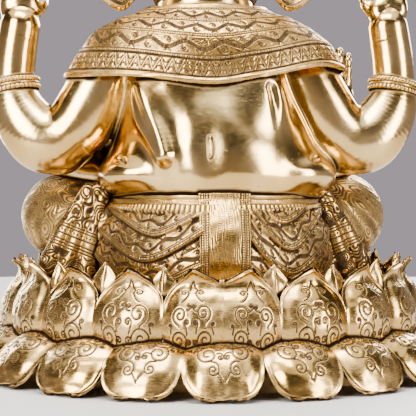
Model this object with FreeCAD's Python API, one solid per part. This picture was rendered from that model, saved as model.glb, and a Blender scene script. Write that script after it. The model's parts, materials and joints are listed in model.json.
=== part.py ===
"""Brass Ganesha idol on a lotus base: a hollow figure brazed up from castings, bolted to a cast lotus.

Millimetres, +Z up. The origin is the middle of the base on the table. The idol faces -Y: its left side is +X.
"""

import FreeCAD
import Part
import math
import os

Vector = FreeCAD.Vector

# Driving dimensions of the lotus base.
PETALS = 20
SEAM_PETAL_DEG = 15.0
LOWER_TIP_R = 210.0
CASTING_WALL = 3.5
DRUM_R = 160.0
DRUM_WALL = 5.0
DRUM_TOP = 72.0
SEAT_PLATE_T = 5.0
FLANGE_R = 168.0
FLANGE_Z = 34.0
FLANGE_T = 4.0

# Driving dimensions of the figure.
FIGURE_X = 6.0
FIGURE_WALL = 4.0
SEAT_Z = DRUM_TOP
WAIST_Z = 146.0
SHAWL_LOW_Z = 247.0
NECK_Z = 300.0
HEAD_CENTRE = (0.0, -12.0, 352.0)
HEAD_RADII = (50.0, 52.0, 45.0)
CROWN_LOW_Z = 376.0
CROWN_BAND_H = 16.0
CROWN_BAND_R = 54.0
CROWN_Y = -8.0
IDOL_TOP_Z = 510.0
SASH_HALF_W = 21.0
SASH_T = 8.5
SASH_X = -7.0
WAISTBAND_R = 94.0
WAISTBAND_X = -9.0
CUT_BOX = 300.0

# The bolt that holds the figure to the base.
STUD_R = 5.0
STUD_CLEARANCE = 0.3
STUD_LOW_Z = 46.0
STUD_HIGH_Z = 92.0
NUT_ACROSS_FLATS = 17.0
NUT_H = 8.0
WASHER_R = 15.0
WASHER_T = 2.5

BANGLE_WIRE_R = 2.8
BANGLE_CLEARANCE = 0.4
SECTION_POINTS = 12
LEFT = 1
RIGHT = -1

# Centres and radii along each limb: x outwards from the figure's middle line, y, z, radius.
REAR_ARM = [
    (76, 4, 268, 28),
    (91, 6, 246, 28),
    (106, 7, 221, 28.5),
    (128, 5, 195, 29),
    (152, 2, 207, 27),
    (163, 0, 226, 23),
    (166, -2, 244, 18.5),
    (165, -4, 270, 16),
    (161, -5, 296, 14.5),
]
REAR_ELBOW = 3
REAR_BANGLE = 6
FRONT_RIGHT_ARM = [
    (58, -22, 256, 24),
    (84, -34, 226, 24),
    (107, -45, 190, 23),
    (119, -62, 190, 21),
    (124.5, -75, 207, 17.5),
    (125, -79, 226, 14.5),
]
FRONT_LEFT_ARM = [
    (58, -22, 256, 24),
    (84, -34, 224, 24),
    (108, -48, 182, 23),
    (108, -80, 173, 21),
    (94, -107, 173, 18),
    (74, -122, 175, 14.5),
]
FRONT_ELBOW = 2
THIGH = [
    (34, 14, 112, 38),
    (70, -8, 115, 41),
    (100, -25, 122, 41),
    (122, -36, 127, 37),
    (138, -43, 129, 28),
    (148, -48, 130, 16),
    (152, -50, 130.5, 5),
]
KNEE_CAP = 4
LEFT_SHIN = [
    (126, -74, 105, 22),
    (96, -98, 97, 23),
    (60, -117, 93, 21),
    (24, -127, 91, 17),
    (8, -129, 90, 15),
]
RIGHT_SHIN = [
    (126, -74, 107, 22),
    (92, -92, 112, 24),
    (56, -104, 118, 22),
    (18, -110, 122, 18),
    (0, -111, 122, 15),
]
TRUNK = [
    (0, -52, 346, 27),
    (0, -76, 330, 24),
    (-1, -95, 306, 20),
    (-1, -106, 278, 17),
    (4, -115, 250, 14.5),
    (20, -124, 227, 12.5),
    (40, -132, 217, 11),
    (56, -134, 224, 9.5),
]


def at(x, y, z):
    """A point of the figure, with x measured from the figure's own middle line."""
    return Vector(FIGURE_X + x, y, z)


def closed_curve(points):
    """A smooth closed wire through the points."""
    curve = Part.BSplineCurve()
    curve.interpolate(Points=points, PeriodicFlag=True)
    return Part.Wire([curve.toShape()])


def oval(middle_x, middle_y, z, radius_x, radius_y):
    """A level oval wire."""
    points = []
    for i in range(SECTION_POINTS):
        turn = 2 * math.pi * i / SECTION_POINTS
        points.append(Vector(middle_x + radius_x * math.cos(turn), middle_y + radius_y * math.sin(turn), z))
    return closed_curve(points)


def ring_across(centre, first, second, radius, flat=1.0):
    """A round wire about centre in the plane of two unit vectors, flattened by flat along the second."""
    points = []
    for i in range(SECTION_POINTS):
        turn = 2 * math.pi * i / SECTION_POINTS
        points.append(centre + first * (radius * math.cos(turn)) + second * (radius * flat * math.sin(turn)))
    return closed_curve(points)


def directions(centres):
    """The unit direction of travel at each centre of a limb."""
    found = []
    last = len(centres) - 1
    for i in range(len(centres)):
        way = centres[min(i + 1, last)] - centres[max(i - 1, 0)]
        found.append(way.normalize())
    return found


def frames(centres, side):
    """Two unit vectors across the limb at each centre, carried along it untwisted, the second near side."""
    found = []
    across = Vector(side)
    for way in directions(centres):
        second = across - way * across.dot(way)
        second.normalize()
        found.append((second.cross(way), second))
        across = second
    return found


def limb(stations, side_sign=LEFT, first=0, last=None, side=Vector(0, 1, 0), flat=1.0):
    """A tapering round limb along the stations from index first to index last."""
    last = len(stations) - 1 if last is None else last
    centres = [at(side_sign * x, y, z) for x, y, z, _ in stations]
    turns = frames(centres, side)
    wires = [ring_across(centres[i], *turns[i], stations[i][3], flat) for i in range(first, last + 1)]
    return Part.makeLoft(wires, True, False)


def inset(stations, first, last, wall):
    """The stations of a limb's core: each radius less by the wall, and both ends drawn in by it."""
    kept = [list(station) for station in stations[first : last + 1]]
    for end, beside in ((0, 1), (-1, -2)):
        gap = [kept[beside][k] - kept[end][k] for k in range(3)]
        share = wall / math.sqrt(sum(step * step for step in gap))
        for k in range(3):
            kept[end][k] += gap[k] * share
    return [(x, y, z, radius - wall) for x, y, z, radius in kept]


def hollow_limb(stations, side_sign, first=0, last=None, side=Vector(0, 1, 0)):
    """A limb cast over a core, closed at both ends."""
    last = len(stations) - 1 if last is None else last
    core = inset(stations, first, last, FIGURE_WALL)
    return limb(stations, side_sign, first, last, side).cut(limb(core, side_sign, side=side))


def levels(sections, grow=0.0):
    """A solid through level ovals given as (x, y, z, radius_x, radius_y)."""
    wires = [oval(FIGURE_X + x, y, z, rx + grow, ry + grow) for x, y, z, rx, ry in sections]
    return Part.makeLoft(wires, True, False)


def ellipsoid(centre, radii):
    ball = Part.makeSphere(1.0)
    matrix = FreeCAD.Matrix()
    matrix.scale(*radii)
    shape = ball.transformGeometry(matrix)
    shape.translate(centre)
    return shape


def turned_profile(points, centre=Vector(0, 0, 0)):
    """The solid made by turning an outline of (radius, z) points about the vertical through centre."""
    corners = [Vector(r, 0, z) for r, z in points]
    face = Part.Face(Part.makePolygon(corners + corners[:1]))
    solid = face.revolve(Vector(0, 0, 0), Vector(0, 0, 1), 360)
    solid.translate(centre)
    return solid


def slab(x0, x1, y0, y1, z0, z1):
    return Part.makeBox(x1 - x0, y1 - y0, z1 - z0, Vector(x0, y0, z0))


def layer(low, high):
    """All of space between two heights."""
    return slab(-CUT_BOX, CUT_BOX, -CUT_BOX, CUT_BOX, low, high)


def export(name, shapes):
    """Writes one sub-part's closed solids to its STEP file."""
    shapes = shapes if isinstance(shapes, list) else [shapes]
    solids = [solid for shape in shapes for solid in shape.Solids]
    part = solids[0] if len(solids) == 1 else Part.makeCompound(solids)
    if not part.isValid() or part.Volume <= 0:
        print("WARNING: not a valid solid:", name)
    part.exportStep(os.path.join("parts", name + ".step"))
    print(f"{name}: {len(solids)} solid(s), {part.Volume / 1000:.1f} cm3")


# ---------------------------------------------------------------- lotus base

# Each petal's profile from root to tip: radius from the base's axis, z, half width, crown across its width.
LOWER_PETAL = [
    (158, 34.5, 23.5, 2),
    (172, 35, 26.8, 6),
    (186, 30.5, 29, 8),
    (197, 21.5, 29, 8),
    (204, 13, 26, 6),
    (LOWER_TIP_R - 3, 7.5, 17, 4),
    (LOWER_TIP_R - 1.5, 5.5, 6, 1.5),
]
UPPER_PETAL = [
    (160, 39, 19, 3),
    (168, 39.5, 25, 6),
    (173, 46, 27.5, 8),
    (173, 57, 28, 8.5),
    (169, 67.5, 27, 8),
    (165, 77, 22, 6),
    (165, 84, 15, 4),
    (168, 90, 7, 2),
    (171.5, 94, 1.5, 0.8),
]
INNER_PETAL = [
    (163, 70, 14, 2),
    (161, 82, 13, 3),
    (160, 92, 7, 2),
    (161, 98, 1.2, 0.6),
]


def petal(profile, wall, width_scale=1.0):
    """A curved leaf of even wall that points along +X, lofted through arched strips across its profile."""
    outward = 1 if profile[-1][1] > profile[0][1] else -1
    wires = []
    last = len(profile) - 1
    for i, (radius, z, half_width, crown) in enumerate(profile):
        r0, z0 = profile[max(i - 1, 0)][:2]
        r1, z1 = profile[min(i + 1, last)][:2]
        way = Vector(r1 - r0, 0, z1 - z0).normalize()
        out = way.cross(Vector(0, 1, 0)) * outward
        half_width = half_width * width_scale
        outer, inner = [], []
        for share in (-1.0, -0.5, 0.0, 0.5, 1.0):
            rise = crown * (1 - share * share)
            spot = Vector(radius, half_width * share, z) + out * rise
            outer.append(spot)
            inner.append(spot - out * wall)
        over = Part.BSplineCurve()
        over.interpolate(Points=outer)
        under = Part.BSplineCurve()
        under.interpolate(Points=inner[::-1])
        edges = [
            over.toShape(),
            Part.makeLine(outer[-1], inner[-1]),
            under.toShape(),
            Part.makeLine(inner[0], outer[0]),
        ]
        wires.append(Part.Wire(edges))
    return Part.makeLoft(wires, True, False)


def turned(shape, degrees):
    copy = shape.copy()
    copy.rotate(Vector(0, 0, 0), Vector(0, 0, 1), degrees)
    return copy


def upper_petal_angles():
    """Middle angle and width share of each petal of a half ring, from the rear seam to the front one."""
    half = PETALS // 2
    pitch = (180.0 - 2 * SEAM_PETAL_DEG) / (half - 2)
    widths = [SEAM_PETAL_DEG] + [pitch] * (half - 2) + [SEAM_PETAL_DEG]
    angles, edge = [], 0.0
    for width in widths:
        angles.append((edge + width / 2, width / pitch))
        edge += width
    return angles


def base_drum():
    """The hollow casting that carries the petals: open underneath, with a ledge for the seat plate."""
    inside = DRUM_R - DRUM_WALL
    ledge = inside - DRUM_WALL
    return turned_profile(
        [
            (inside, 0),
            (DRUM_R, 0),
            (DRUM_R, FLANGE_Z),
            (FLANGE_R, FLANGE_Z),
            (FLANGE_R, FLANGE_Z + FLANGE_T),
            (DRUM_R, FLANGE_Z + FLANGE_T),
            (DRUM_R, DRUM_TOP),
            (inside, DRUM_TOP),
            (inside, DRUM_TOP - SEAT_PLATE_T),
            (ledge, DRUM_TOP - SEAT_PLATE_T),
            (ledge, DRUM_TOP - 2 * SEAT_PLATE_T),
            (inside, DRUM_TOP - 3 * SEAT_PLATE_T),
        ]
    )


def seat_plate():
    bottom = DRUM_TOP - SEAT_PLATE_T
    plate = Part.makeCylinder(DRUM_R - DRUM_WALL, SEAT_PLATE_T, Vector(0, 0, bottom))
    hole = Part.makeCylinder(STUD_R + STUD_CLEARANCE, SEAT_PLATE_T, Vector(FIGURE_X, 0, bottom))
    return plate.cut(hole)


def lotus():
    drum = base_drum()
    core = Part.makeCylinder(DRUM_R, DRUM_TOP)
    flange = Part.makeCylinder(FLANGE_R, FLANGE_T, Vector(0, 0, FLANGE_Z))
    export("base_drum", drum)
    export("seat_plate", seat_plate())
    lower = largest(petal(LOWER_PETAL, CASTING_WALL).cut(core).cut(flange))
    export("lower_petals", [turned(lower, 90 + 360.0 / PETALS * i) for i in range(PETALS)])
    halves = {LEFT: [], RIGHT: []}
    petals_by_width = {}
    for angle, share in upper_petal_angles():
        if share not in petals_by_width:
            petals_by_width[share] = largest(petal(UPPER_PETAL, CASTING_WALL, share).cut(core).cut(flange))
        for side in (LEFT, RIGHT):
            halves[side].append(turned(petals_by_width[share], 90 - side * angle))
    export("upper_petals_left", halves[LEFT])
    export("upper_petals_right", halves[RIGHT])
    inner = petal(INNER_PETAL, CASTING_WALL * 0.75).cut(core)
    edges = []
    edge = SEAM_PETAL_DEG
    for _ in range(PETALS // 2 - 1):
        edges.append(edge)
        edge += (180.0 - 2 * SEAM_PETAL_DEG) / (PETALS // 2 - 2)
    export("inner_petals", [turned(inner, 90 - side * edge) for side in (LEFT, RIGHT) for edge in edges])


def fixing_bolt():
    """The stud in the figure's floor, and its nut and washer under the seat plate."""
    stud = Part.makeCylinder(STUD_R, STUD_HIGH_Z - STUD_LOW_Z, Vector(FIGURE_X, 0, STUD_LOW_Z))
    export("fixing_stud", stud)
    plate_bottom = DRUM_TOP - SEAT_PLATE_T
    bore = Part.makeCylinder(STUD_R, DRUM_TOP, Vector(FIGURE_X, 0, 0))
    washer = Part.makeCylinder(WASHER_R, WASHER_T, Vector(FIGURE_X, 0, plate_bottom - WASHER_T))
    corner_r = NUT_ACROSS_FLATS / math.sqrt(3)
    nut_z = plate_bottom - WASHER_T - NUT_H
    corners = []
    for i in range(7):
        turn = math.radians(60 * i)
        corners.append(Vector(FIGURE_X + corner_r * math.cos(turn), corner_r * math.sin(turn), nut_z))
    nut = Part.Face(Part.makePolygon(corners)).extrude(Vector(0, 0, NUT_H))
    export("fixing_washer", washer.cut(bore))
    export("fixing_nut", nut.cut(bore))


# ---------------------------------------------------------------- body

HIPS = [
    (-6, 12, SEAT_Z, 92, 90),
    (-6, 13, 92, 99, 99),
    (-7, 13, 116, 98, 99),
    (-8, 10, 134, 92, 93),
    (-9, 6, WAIST_Z, 86, 86),
]
TORSO = [
    (-10, 0, WAIST_Z, 86, 82),
    (-10, -8, 160, 95, 98),
    (-9, -12, 182, 95, 104),
    (-7, -8, 208, 86, 92),
    (-3, -2, 234, 76, 74),
    (0, 2, 260, 72, 60),
    (0, 2, 282, 60, 50),
    (0, 0, NECK_Z, 44, 42),
]
SHAWL = [
    (0, 4, SHAWL_LOW_Z - 6, 117, 69),
    (0, 4, 264, 115, 68),
    (0, 4, 280, 107, 65),
    (0, 3, 292, 95, 59),
    (0, 0, 302, 77, 52),
    (0, -2, 309, 57, 47),
]


def hollow(sections, wall):
    """A closed shell through level ovals, with its own floor and roof of the same wall."""
    outer = levels(sections)
    inner_sections = [(x, y, z, rx - wall, ry - wall) for x, y, z, rx, ry in sections]
    low, high = sections[0][2] + wall, sections[-1][2] - wall
    inner = levels(inner_sections)
    room = inner.common(layer(low, high))
    return outer.cut(room)


def head_shape():
    return ellipsoid(at(*HEAD_CENTRE), HEAD_RADII)


PLEAT_TOP_R = 8.0
PLEAT_R = 9.5


def fold(start, end, radius_start, radius_end):
    """One round pleat of cloth between two points, given as figure points."""
    way = end - start
    return Part.makeCone(radius_start, radius_end, way.Length, start, way)


def knee_drape(side):
    """Three pleats that hang behind the knee, joined along their length."""
    top = at(side * 84, 12, 157)
    feet = [at(side * 102, 16, 86), at(side * 114, 11, 89), at(side * 127, 3, 94)]
    drape = fold(top, feet[0], PLEAT_TOP_R, PLEAT_R)
    for i, foot in enumerate(feet[1:], start=1):
        drape = drape.fuse(fold(top + Vector(side * 4 * i, -3 * i, 0), foot, PLEAT_TOP_R, PLEAT_R))
    return drape


def largest(shape):
    """The biggest solid of a cut shape, without the slivers that a cut can leave beside it."""
    return max(shape.Solids, key=lambda solid: solid.Volume)


def body():
    """Hips, torso, legs and the cloth on them, each cut back to the pieces that it is brazed to."""
    hips = levels(HIPS)
    torso = levels(TORSO)
    thighs = {side: limb(THIGH, side) for side in (LEFT, RIGHT)}
    stud = Part.makeCylinder(STUD_R, STUD_HIGH_Z - SEAT_Z, Vector(FIGURE_X, 0, SEAT_Z))
    hips_shell = hollow(HIPS, FIGURE_WALL)
    boss = Part.makeCylinder(STUD_R * 2.4, STUD_HIGH_Z - SEAT_Z, Vector(FIGURE_X, 0, SEAT_Z))
    export("hips", hips_shell.fuse(boss).cut(stud))
    export("torso", hollow(TORSO, FIGURE_WALL))
    skirt = levels(HIPS, CASTING_WALL).common(slab(-CUT_BOX, CUT_BOX, 0, CUT_BOX, SEAT_Z + 6, WAIST_Z - 5))
    drapes = skirt.cut(hips)
    for side, name in ((LEFT, "left"), (RIGHT, "right")):
        core = limb(inset(THIGH, 0, KNEE_CAP, FIGURE_WALL), side)
        export(name + "_thigh", thighs[side].cut(core).cut(hips))
        inner_x, outer_x = sorted((FIGURE_X + SASH_X + side * SASH_HALF_W, side * CUT_BOX))
        half = slab(inner_x, outer_x, 0, CUT_BOX, SEAT_Z, WAIST_Z)
        export("dhoti_drape_" + name, drapes.common(half).cut(thighs[side]))
        flap = trim(knee_drape(side), [thighs[side], levels(HIPS, CASTING_WALL), torso])
        export(name + "_knee_drape", largest(flap))
    sash_x = FIGURE_X + SASH_X
    sash_room = slab(sash_x - SASH_HALF_W, sash_x + SASH_HALF_W, 0, CUT_BOX, SEAT_Z + 3, WAIST_Z + 2)
    sash = levels(HIPS, SASH_T).common(sash_room).cut(hips).cut(torso)
    export("rear_sash", sash)
    band = Part.makeCylinder(WAISTBAND_R, 8, at(WAISTBAND_X, 3, WAIST_Z - 5))
    export("waistband", trim(band, [hips, torso, sash]))
    legs(thighs)


LEFT_FOOT = [
    (8, -129, 90, 15),
    (-10, -130, 88, 17),
    (-30, -128, 86, 19),
    (-50, -122, 84, 17),
    (-60, -118, 83, 10),
]
RIGHT_FOOT = [
    (0, -111, 122, 15),
    (18, -112, 121, 17),
    (38, -111, 119, 19),
    (56, -107, 117, 17),
    (66, -104, 116, 10),
]
FOOT_FLATNESS = 0.62
ANKLE = 3


def legs(thighs):
    """The crossed shins and feet, the right leg over the left, each with its anklet."""
    upright = Vector(0, 0, 1)
    torso = levels(TORSO)
    hips = levels(HIPS)
    left = limb(LEFT_SHIN, LEFT, side=upright).cut(thighs[LEFT])
    right = limb(RIGHT_SHIN, RIGHT, side=upright).cut(thighs[RIGHT]).cut(left)
    left_shin = trim(hollow_limb(LEFT_SHIN, LEFT, side=upright), [thighs[LEFT], torso, hips])
    right_shin = trim(hollow_limb(RIGHT_SHIN, RIGHT, side=upright), [thighs[RIGHT], left, torso, hips])
    export("left_shin", left_shin)
    export("right_shin", right_shin)
    left_foot = limb(LEFT_FOOT, LEFT, side=upright, flat=FOOT_FLATNESS)
    right_foot = limb(RIGHT_FOOT, LEFT, side=upright, flat=FOOT_FLATNESS)
    export("left_foot", trim(left_foot, [left, right, thighs[RIGHT], torso]))
    export("right_foot", trim(right_foot, [torso, left, right, left_foot, thighs[LEFT], hips]))
    anklets = [ring_on(LEFT_SHIN, LEFT, ANKLE), ring_on(RIGHT_SHIN, RIGHT, ANKLE)]
    cutters = [left, right, left_foot, right_foot, torso, hips]
    export("anklets", [trim(ring, cutters) for ring in anklets])


def trim(shape, cutters):
    for cutter in cutters:
        shape = shape.cut(cutter)
    return shape


def ring_on(stations, side, index, offset=0.0):
    """A round wire ring that clears the limb at one of its stations, moved along it by offset."""
    centres = [at(side * x, y, z) for x, y, z, _ in stations]
    way = directions(centres)[index]
    radius = stations[index][3] + BANGLE_WIRE_R + BANGLE_CLEARANCE
    return Part.makeTorus(radius, BANGLE_WIRE_R, centres[index] + way * offset, way)


# ---------------------------------------------------------------- arms and hands


def finger(base, tip, radius):
    """A tapering finger with a round end."""
    way = tip - base
    tip_radius = radius * 0.85
    cone = Part.makeCone(radius, tip_radius, way.Length, base, way)
    return cone.fuse(Part.makeSphere(tip_radius, tip))


def hand(wrist, up, across, palm_length, finger_length, curl):
    """A hand from the wrist: palm along up, thumb towards across, fingers bent by curl to the palm's face."""
    up = Vector(up).normalize()
    across = Vector(across).normalize()
    face = up.cross(across)
    half = palm_length * 0.42
    wires = []
    for share, width, thick in ((0.0, 13.0, 11.0), (0.3, 16.0, 10.0), (0.75, 19.0, 9.0), (1.0, 17.5, 6.5)):
        middle = wrist + up * (palm_length * share)
        points = []
        for i in range(SECTION_POINTS):
            turn = 2 * math.pi * i / SECTION_POINTS
            points.append(middle + across * (width * math.cos(turn)) + face * (thick * math.sin(turn)))
        wires.append(closed_curve(points))
    shape = Part.makeLoft(wires, True, False)
    knuckles = wrist + up * (palm_length * 0.93)
    pieces = []
    for i, share in enumerate((-0.74, -0.25, 0.25, 0.74)):
        length = finger_length * (0.86, 0.97, 1.0, 0.84)[i]
        base = knuckles + across * (half * share * 1.15)
        way = up * math.cos(curl) + face * math.sin(curl)
        pieces.append(finger(base, base + way * length, 4.8))
    thumb_base = wrist + up * (palm_length * 0.3) + across * 11
    pieces.append(finger(thumb_base, thumb_base + up * (palm_length * 0.55) + across * 13 + face * 5, 5.2))
    for piece in pieces:
        shape = shape.fuse(piece)
    return shape


def arm_parts(name, stations, side, elbow, cutters):
    """The upper arm and the forearm of one arm, split at the elbow."""
    upper = limb(stations, side, 0, elbow)
    forearm = limb(stations, side, elbow)
    export(name + "_upper_arm", trim(hollow_limb(stations, side, 0, elbow), cutters))
    export(name + "_forearm", trim(hollow_limb(stations, side, elbow), cutters))
    return upper, forearm


def arms():
    torso = levels(TORSO)
    rear_shapes = {}
    for side, name in ((LEFT, "left"), (RIGHT, "right")):
        rear = arm_parts("rear_" + name, REAR_ARM, side, REAR_ELBOW, [torso])
        rear_shapes[side] = rear
        wrist = at(side * REAR_ARM[-1][0], *REAR_ARM[-1][1:3])
        palm = hand(wrist, Vector(side * 0.04, -0.1, 1), Vector(-side, 0, 0), 34, 34, -0.45 * side)
        export("rear_" + name + "_hand", palm.cut(held_rod(side)))
        bangles = [ring_on(REAR_ARM, side, REAR_BANGLE, shift) for shift in (-3.2, 3.0)]
        cutters = [*rear, palm]
        export("rear_" + name + "_bangles", [trim(ring, cutters) for ring in bangles])
    front_arms(torso, rear_shapes)
    return rear_shapes


def front_arms(torso, rear_shapes):
    for side, name, stations in ((LEFT, "left", FRONT_LEFT_ARM), (RIGHT, "right", FRONT_RIGHT_ARM)):
        cutters = [torso, *rear_shapes[side]]
        pair = arm_parts("front_" + name, stations, side, FRONT_ELBOW, cutters)
        wrist = at(side * stations[-1][0], *stations[-1][1:3])
        if side == RIGHT:
            palm = hand(wrist, Vector(0, -0.06, 1), Vector(1, -0.1, 0), 27, 26, 0.0)
        else:
            palm = hand(wrist, Vector(-0.85, -0.5, 0.06), Vector(-0.5, 0.85, 0), 28, 24, 0.25)
            bowl = sweet_bowl()
            palm = palm.cut(bowl_room())
            export("sweet_bowl", bowl)
        export("front_" + name + "_hand", trim(palm, list(pair)))
        last = len(stations) - 1
        rings = [ring_on(stations, side, last, -4.0), ring_on(stations, side, last, 2.0)]
        export("front_" + name + "_bangles", [trim(ring, [*pair, palm]) for ring in rings])


BOWL_CENTRE = (48.0, -139.0, 179.0)


def bowl_room():
    return turned_profile([(0, 0), (12, 0), (21, 7), (25, 16), (0, 16)], at(*BOWL_CENTRE))


def sweet_bowl():
    """The bowl in the front left hand, with a heap of round sweets standing in it as separate balls."""
    return turned_profile(
        [(0, 0), (12, 0), (21, 7), (25, 16), (22, 16), (18.5, 9), (11, 3), (0, 3)], at(*BOWL_CENTRE)
    )


def sweets():
    """Seven sweets heaped in the bowl, and the one at the trunk's tip."""
    x, y, z = BOWL_CENTRE
    balls = []
    for i in range(6):
        turn = math.radians(60 * i)
        balls.append(Part.makeSphere(6.0, at(x + 12.2 * math.cos(turn), y + 12.2 * math.sin(turn), z + 14.0)))
    balls.append(Part.makeSphere(6.2, at(x, y, z + 10.0)))
    balls.append(Part.makeSphere(6.0, at(x, y, z + 22.5)))
    tip = at(*TRUNK[-1][:3])
    held = Part.makeSphere(8.0, tip + Vector(5, -1, 7)).cut(limb(TRUNK))
    return balls, held


ROD_R = 4.0
ROD_LOW_Z = 314.0
ROD_HIGH_Z = 424.0


def rod_foot(side):
    x, y, _ = REAR_ARM[-1][:3]
    return at(side * (x - 2), y - 17, ROD_LOW_Z)


def held_rod(side):
    return Part.makeCylinder(ROD_R, ROD_HIGH_Z - ROD_LOW_Z, rod_foot(side))


def attributes():
    """The axe in the rear right hand and the looped noose in the rear left hand."""
    foot_right = rod_foot(RIGHT)
    blade_z = ROD_HIGH_Z - ROD_LOW_Z
    outline = [(-8, -30), (-8, -4), (-34, 8), (-41, -17), (-34, -42)]
    corners = [foot_right + Vector(x, 0, blade_z + z) for x, z in outline]
    blade = Part.Face(Part.makePolygon(corners + corners[:1])).extrude(Vector(0, 5, 0))
    blade.translate(Vector(10, -2.5, 0))
    knob = Part.makeSphere(6.5, foot_right + Vector(0, 0, blade_z + 3))
    export("axe", held_rod(RIGHT).fuse([blade, knob]))
    foot_left = rod_foot(LEFT)
    loop_r = 17.0
    loop = Part.makeTorus(loop_r, ROD_R, foot_left + Vector(0, 0, blade_z + loop_r), Vector(0, 1, 0))
    export("noose", held_rod(LEFT).fuse(loop))


# ---------------------------------------------------------------- shawl, head and crown


SHAWL_T = 8.0
NECK_HOLE_R = 46.0


def shawl(rear_shapes):
    """The cloth over both shoulders: a shell that is open at the neck and cut round the arms."""
    outer = levels(SHAWL)
    under = [(x, y, z - SHAWL_T, rx - SHAWL_T, ry - SHAWL_T) for x, y, z, rx, ry in SHAWL]
    neck_hole = Part.makeCylinder(NECK_HOLE_R, IDOL_TOP_Z - NECK_Z, at(0, 0, NECK_Z - 2 * SHAWL_T))
    cutters = [levels(TORSO), neck_hole, levels(under)]
    for side in (LEFT, RIGHT):
        cutters.extend(rear_shapes[side])
        stations = FRONT_LEFT_ARM if side == LEFT else FRONT_RIGHT_ARM
        cutters.append(limb(stations, side, 0, FRONT_ELBOW))
    export("shawl", largest(trim(outer, cutters)))


EAR_OUTLINE = [
    (44, 384),
    (66, 396),
    (90, 392),
    (106, 374),
    (108, 350),
    (98, 328),
    (84, 314),
    (72, 308),
    (62, 318),
    (50, 334),
    (42, 356),
]
EAR_T = 6.0


def ear(side):
    """A broad fan of an ear that sweeps back from the cheek."""
    points = [at(side * x, 2 + (x - 44) * 0.22, z) for x, z in EAR_OUTLINE]
    curve = Part.BSplineCurve()
    curve.interpolate(Points=points, PeriodicFlag=True)
    return Part.Face(Part.Wire([curve.toShape()])).extrude(Vector(0, EAR_T, 0))


# Radii of the crown and its finial, each with its share of the height from the crown band to the idol's top.
CROWN_TIERS = [
    (49, 0.0),
    (51, 0.06),
    (44, 0.12),
    (45, 0.22),
    (36, 0.3),
    (37, 0.4),
    (28, 0.48),
    (28.5, 0.56),
    (20, 0.64),
    (19, 0.7),
]
FINIAL = [
    (0, 0.7),
    (15, 0.7),
    (17, 0.76),
    (12, 0.81),
    (6, 0.83),
    (8.5, 0.87),
    (8, 0.91),
    (3.5, 0.95),
    (2, 1),
    (0, 1),
]


def crown_outline(shares):
    """(radius, z) corners above the crown band."""
    low = CROWN_LOW_Z + CROWN_BAND_H
    rise = IDOL_TOP_Z - low
    return [(r, low + rise * share) for r, share in shares]


def crown_shell(outline):
    """The tiered crown, cast hollow under a closed top."""
    low, high = outline[0][1], outline[-1][1]
    full = turned_profile([(0, low)] + outline + [(0, high)], at(0, CROWN_Y, 0))
    low_r = outline[0][0] - 2 * FIGURE_WALL
    high_r = outline[-1][0] - FIGURE_WALL
    room = Part.makeCone(low_r, high_r, high - low - 2 * FIGURE_WALL, at(0, CROWN_Y, low + FIGURE_WALL))
    return full.cut(room)


NECK_BORE_R = 34.0
TUSK_ROOT = [(25, -48, 334, 8), (28, -66, 325, 6.5)]
WHOLE_TUSK = 38.0
BROKEN_TUSK = 20.0


def head():
    """The head with its trunk, ears, tusks, hair and crown."""
    skull = head_shape()
    brain_pan = ellipsoid(at(*HEAD_CENTRE), [radius - FIGURE_WALL for radius in HEAD_RADII])
    neck = levels([(0, 0, NECK_Z, 43, 41), (0, -3, 318, 42, 42)])
    trunk = limb(TRUNK)
    throat = Part.makeCylinder(NECK_BORE_R, CUT_BOX, at(0, 0, NECK_Z + FIGURE_WALL))
    export("neck", neck.cut(skull).cut(throat))
    ears = {side: ear(side) for side in (LEFT, RIGHT)}
    band = Part.makeCylinder(CROWN_BAND_R, CROWN_BAND_H, at(0, CROWN_Y, CROWN_LOW_Z))
    export("crown_band", trim(band, [skull, ears[LEFT], ears[RIGHT]]))
    export("crown_body", crown_shell(crown_outline(CROWN_TIERS)).cut(skull))
    export("crown_finial", turned_profile(crown_outline(FINIAL), at(0, CROWN_Y, 0)))
    export("head", skull.cut(brain_pan))
    export("trunk", hollow_limb(TRUNK, LEFT).cut(skull))
    for side, name in ((LEFT, "left"), (RIGHT, "right")):
        export(name + "_ear", ears[side].cut(skull).cut(neck))
        reach = WHOLE_TUSK if side == LEFT else BROKEN_TUSK
        tusk = [*TUSK_ROOT, (30, -66 - reach / 2, 320, 4.5), (31, -66 - reach, 318, 2.2)]
        export(name + "_tusk", limb(tusk, side).cut(skull).cut(trunk))
    hair(skull, neck, ears)


HAIR_HALF_W = 44.0


def hair(skull, neck, ears):
    """The lock of combed hair down the back of the head."""
    block = levels([(0, 2, 306, 46, 46), (0, -4, 330, 50, 52), (0, -8, CROWN_LOW_Z, 50, 52)])
    block = block.common(slab(FIGURE_X - HAIR_HALF_W, FIGURE_X + HAIR_HALF_W, 18, CUT_BOX, 306, CROWN_LOW_Z))
    export("hair", trim(block, [skull, neck, ears[LEFT], ears[RIGHT], levels(SHAWL)]))


NECKLACE_R = 56.0
NECKLACE_TOP_Z = 273.0
NECKLACE_STEP = math.radians(11.0)
BEADS_PER_SIDE = 7
RAY_START_Y = -200.0
BACKWARD = FreeCAD.Vector(0, 1, 0)
BEAD_R = 4.2


def necklace(torso):
    """A garland of beads that lies on the chest, each bead let into the torso by a quarter of its width."""
    beads = []
    for i in range(-BEADS_PER_SIDE, BEADS_PER_SIDE + 1):
        turn = i * NECKLACE_STEP
        x = NECKLACE_R * math.sin(turn)
        z = NECKLACE_TOP_Z - NECKLACE_R * math.cos(turn)
        ray = Part.makeLine(at(x, RAY_START_Y, z), at(x, 0, z))
        surface_y = min(vertex.Y for vertex in ray.common(torso).Vertexes)
        bead = Part.makeSphere(BEAD_R, at(x, surface_y - BEAD_R / 2, z), BACKWARD)
        beads.append(largest(bead.cut(torso)))
    return beads


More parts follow.
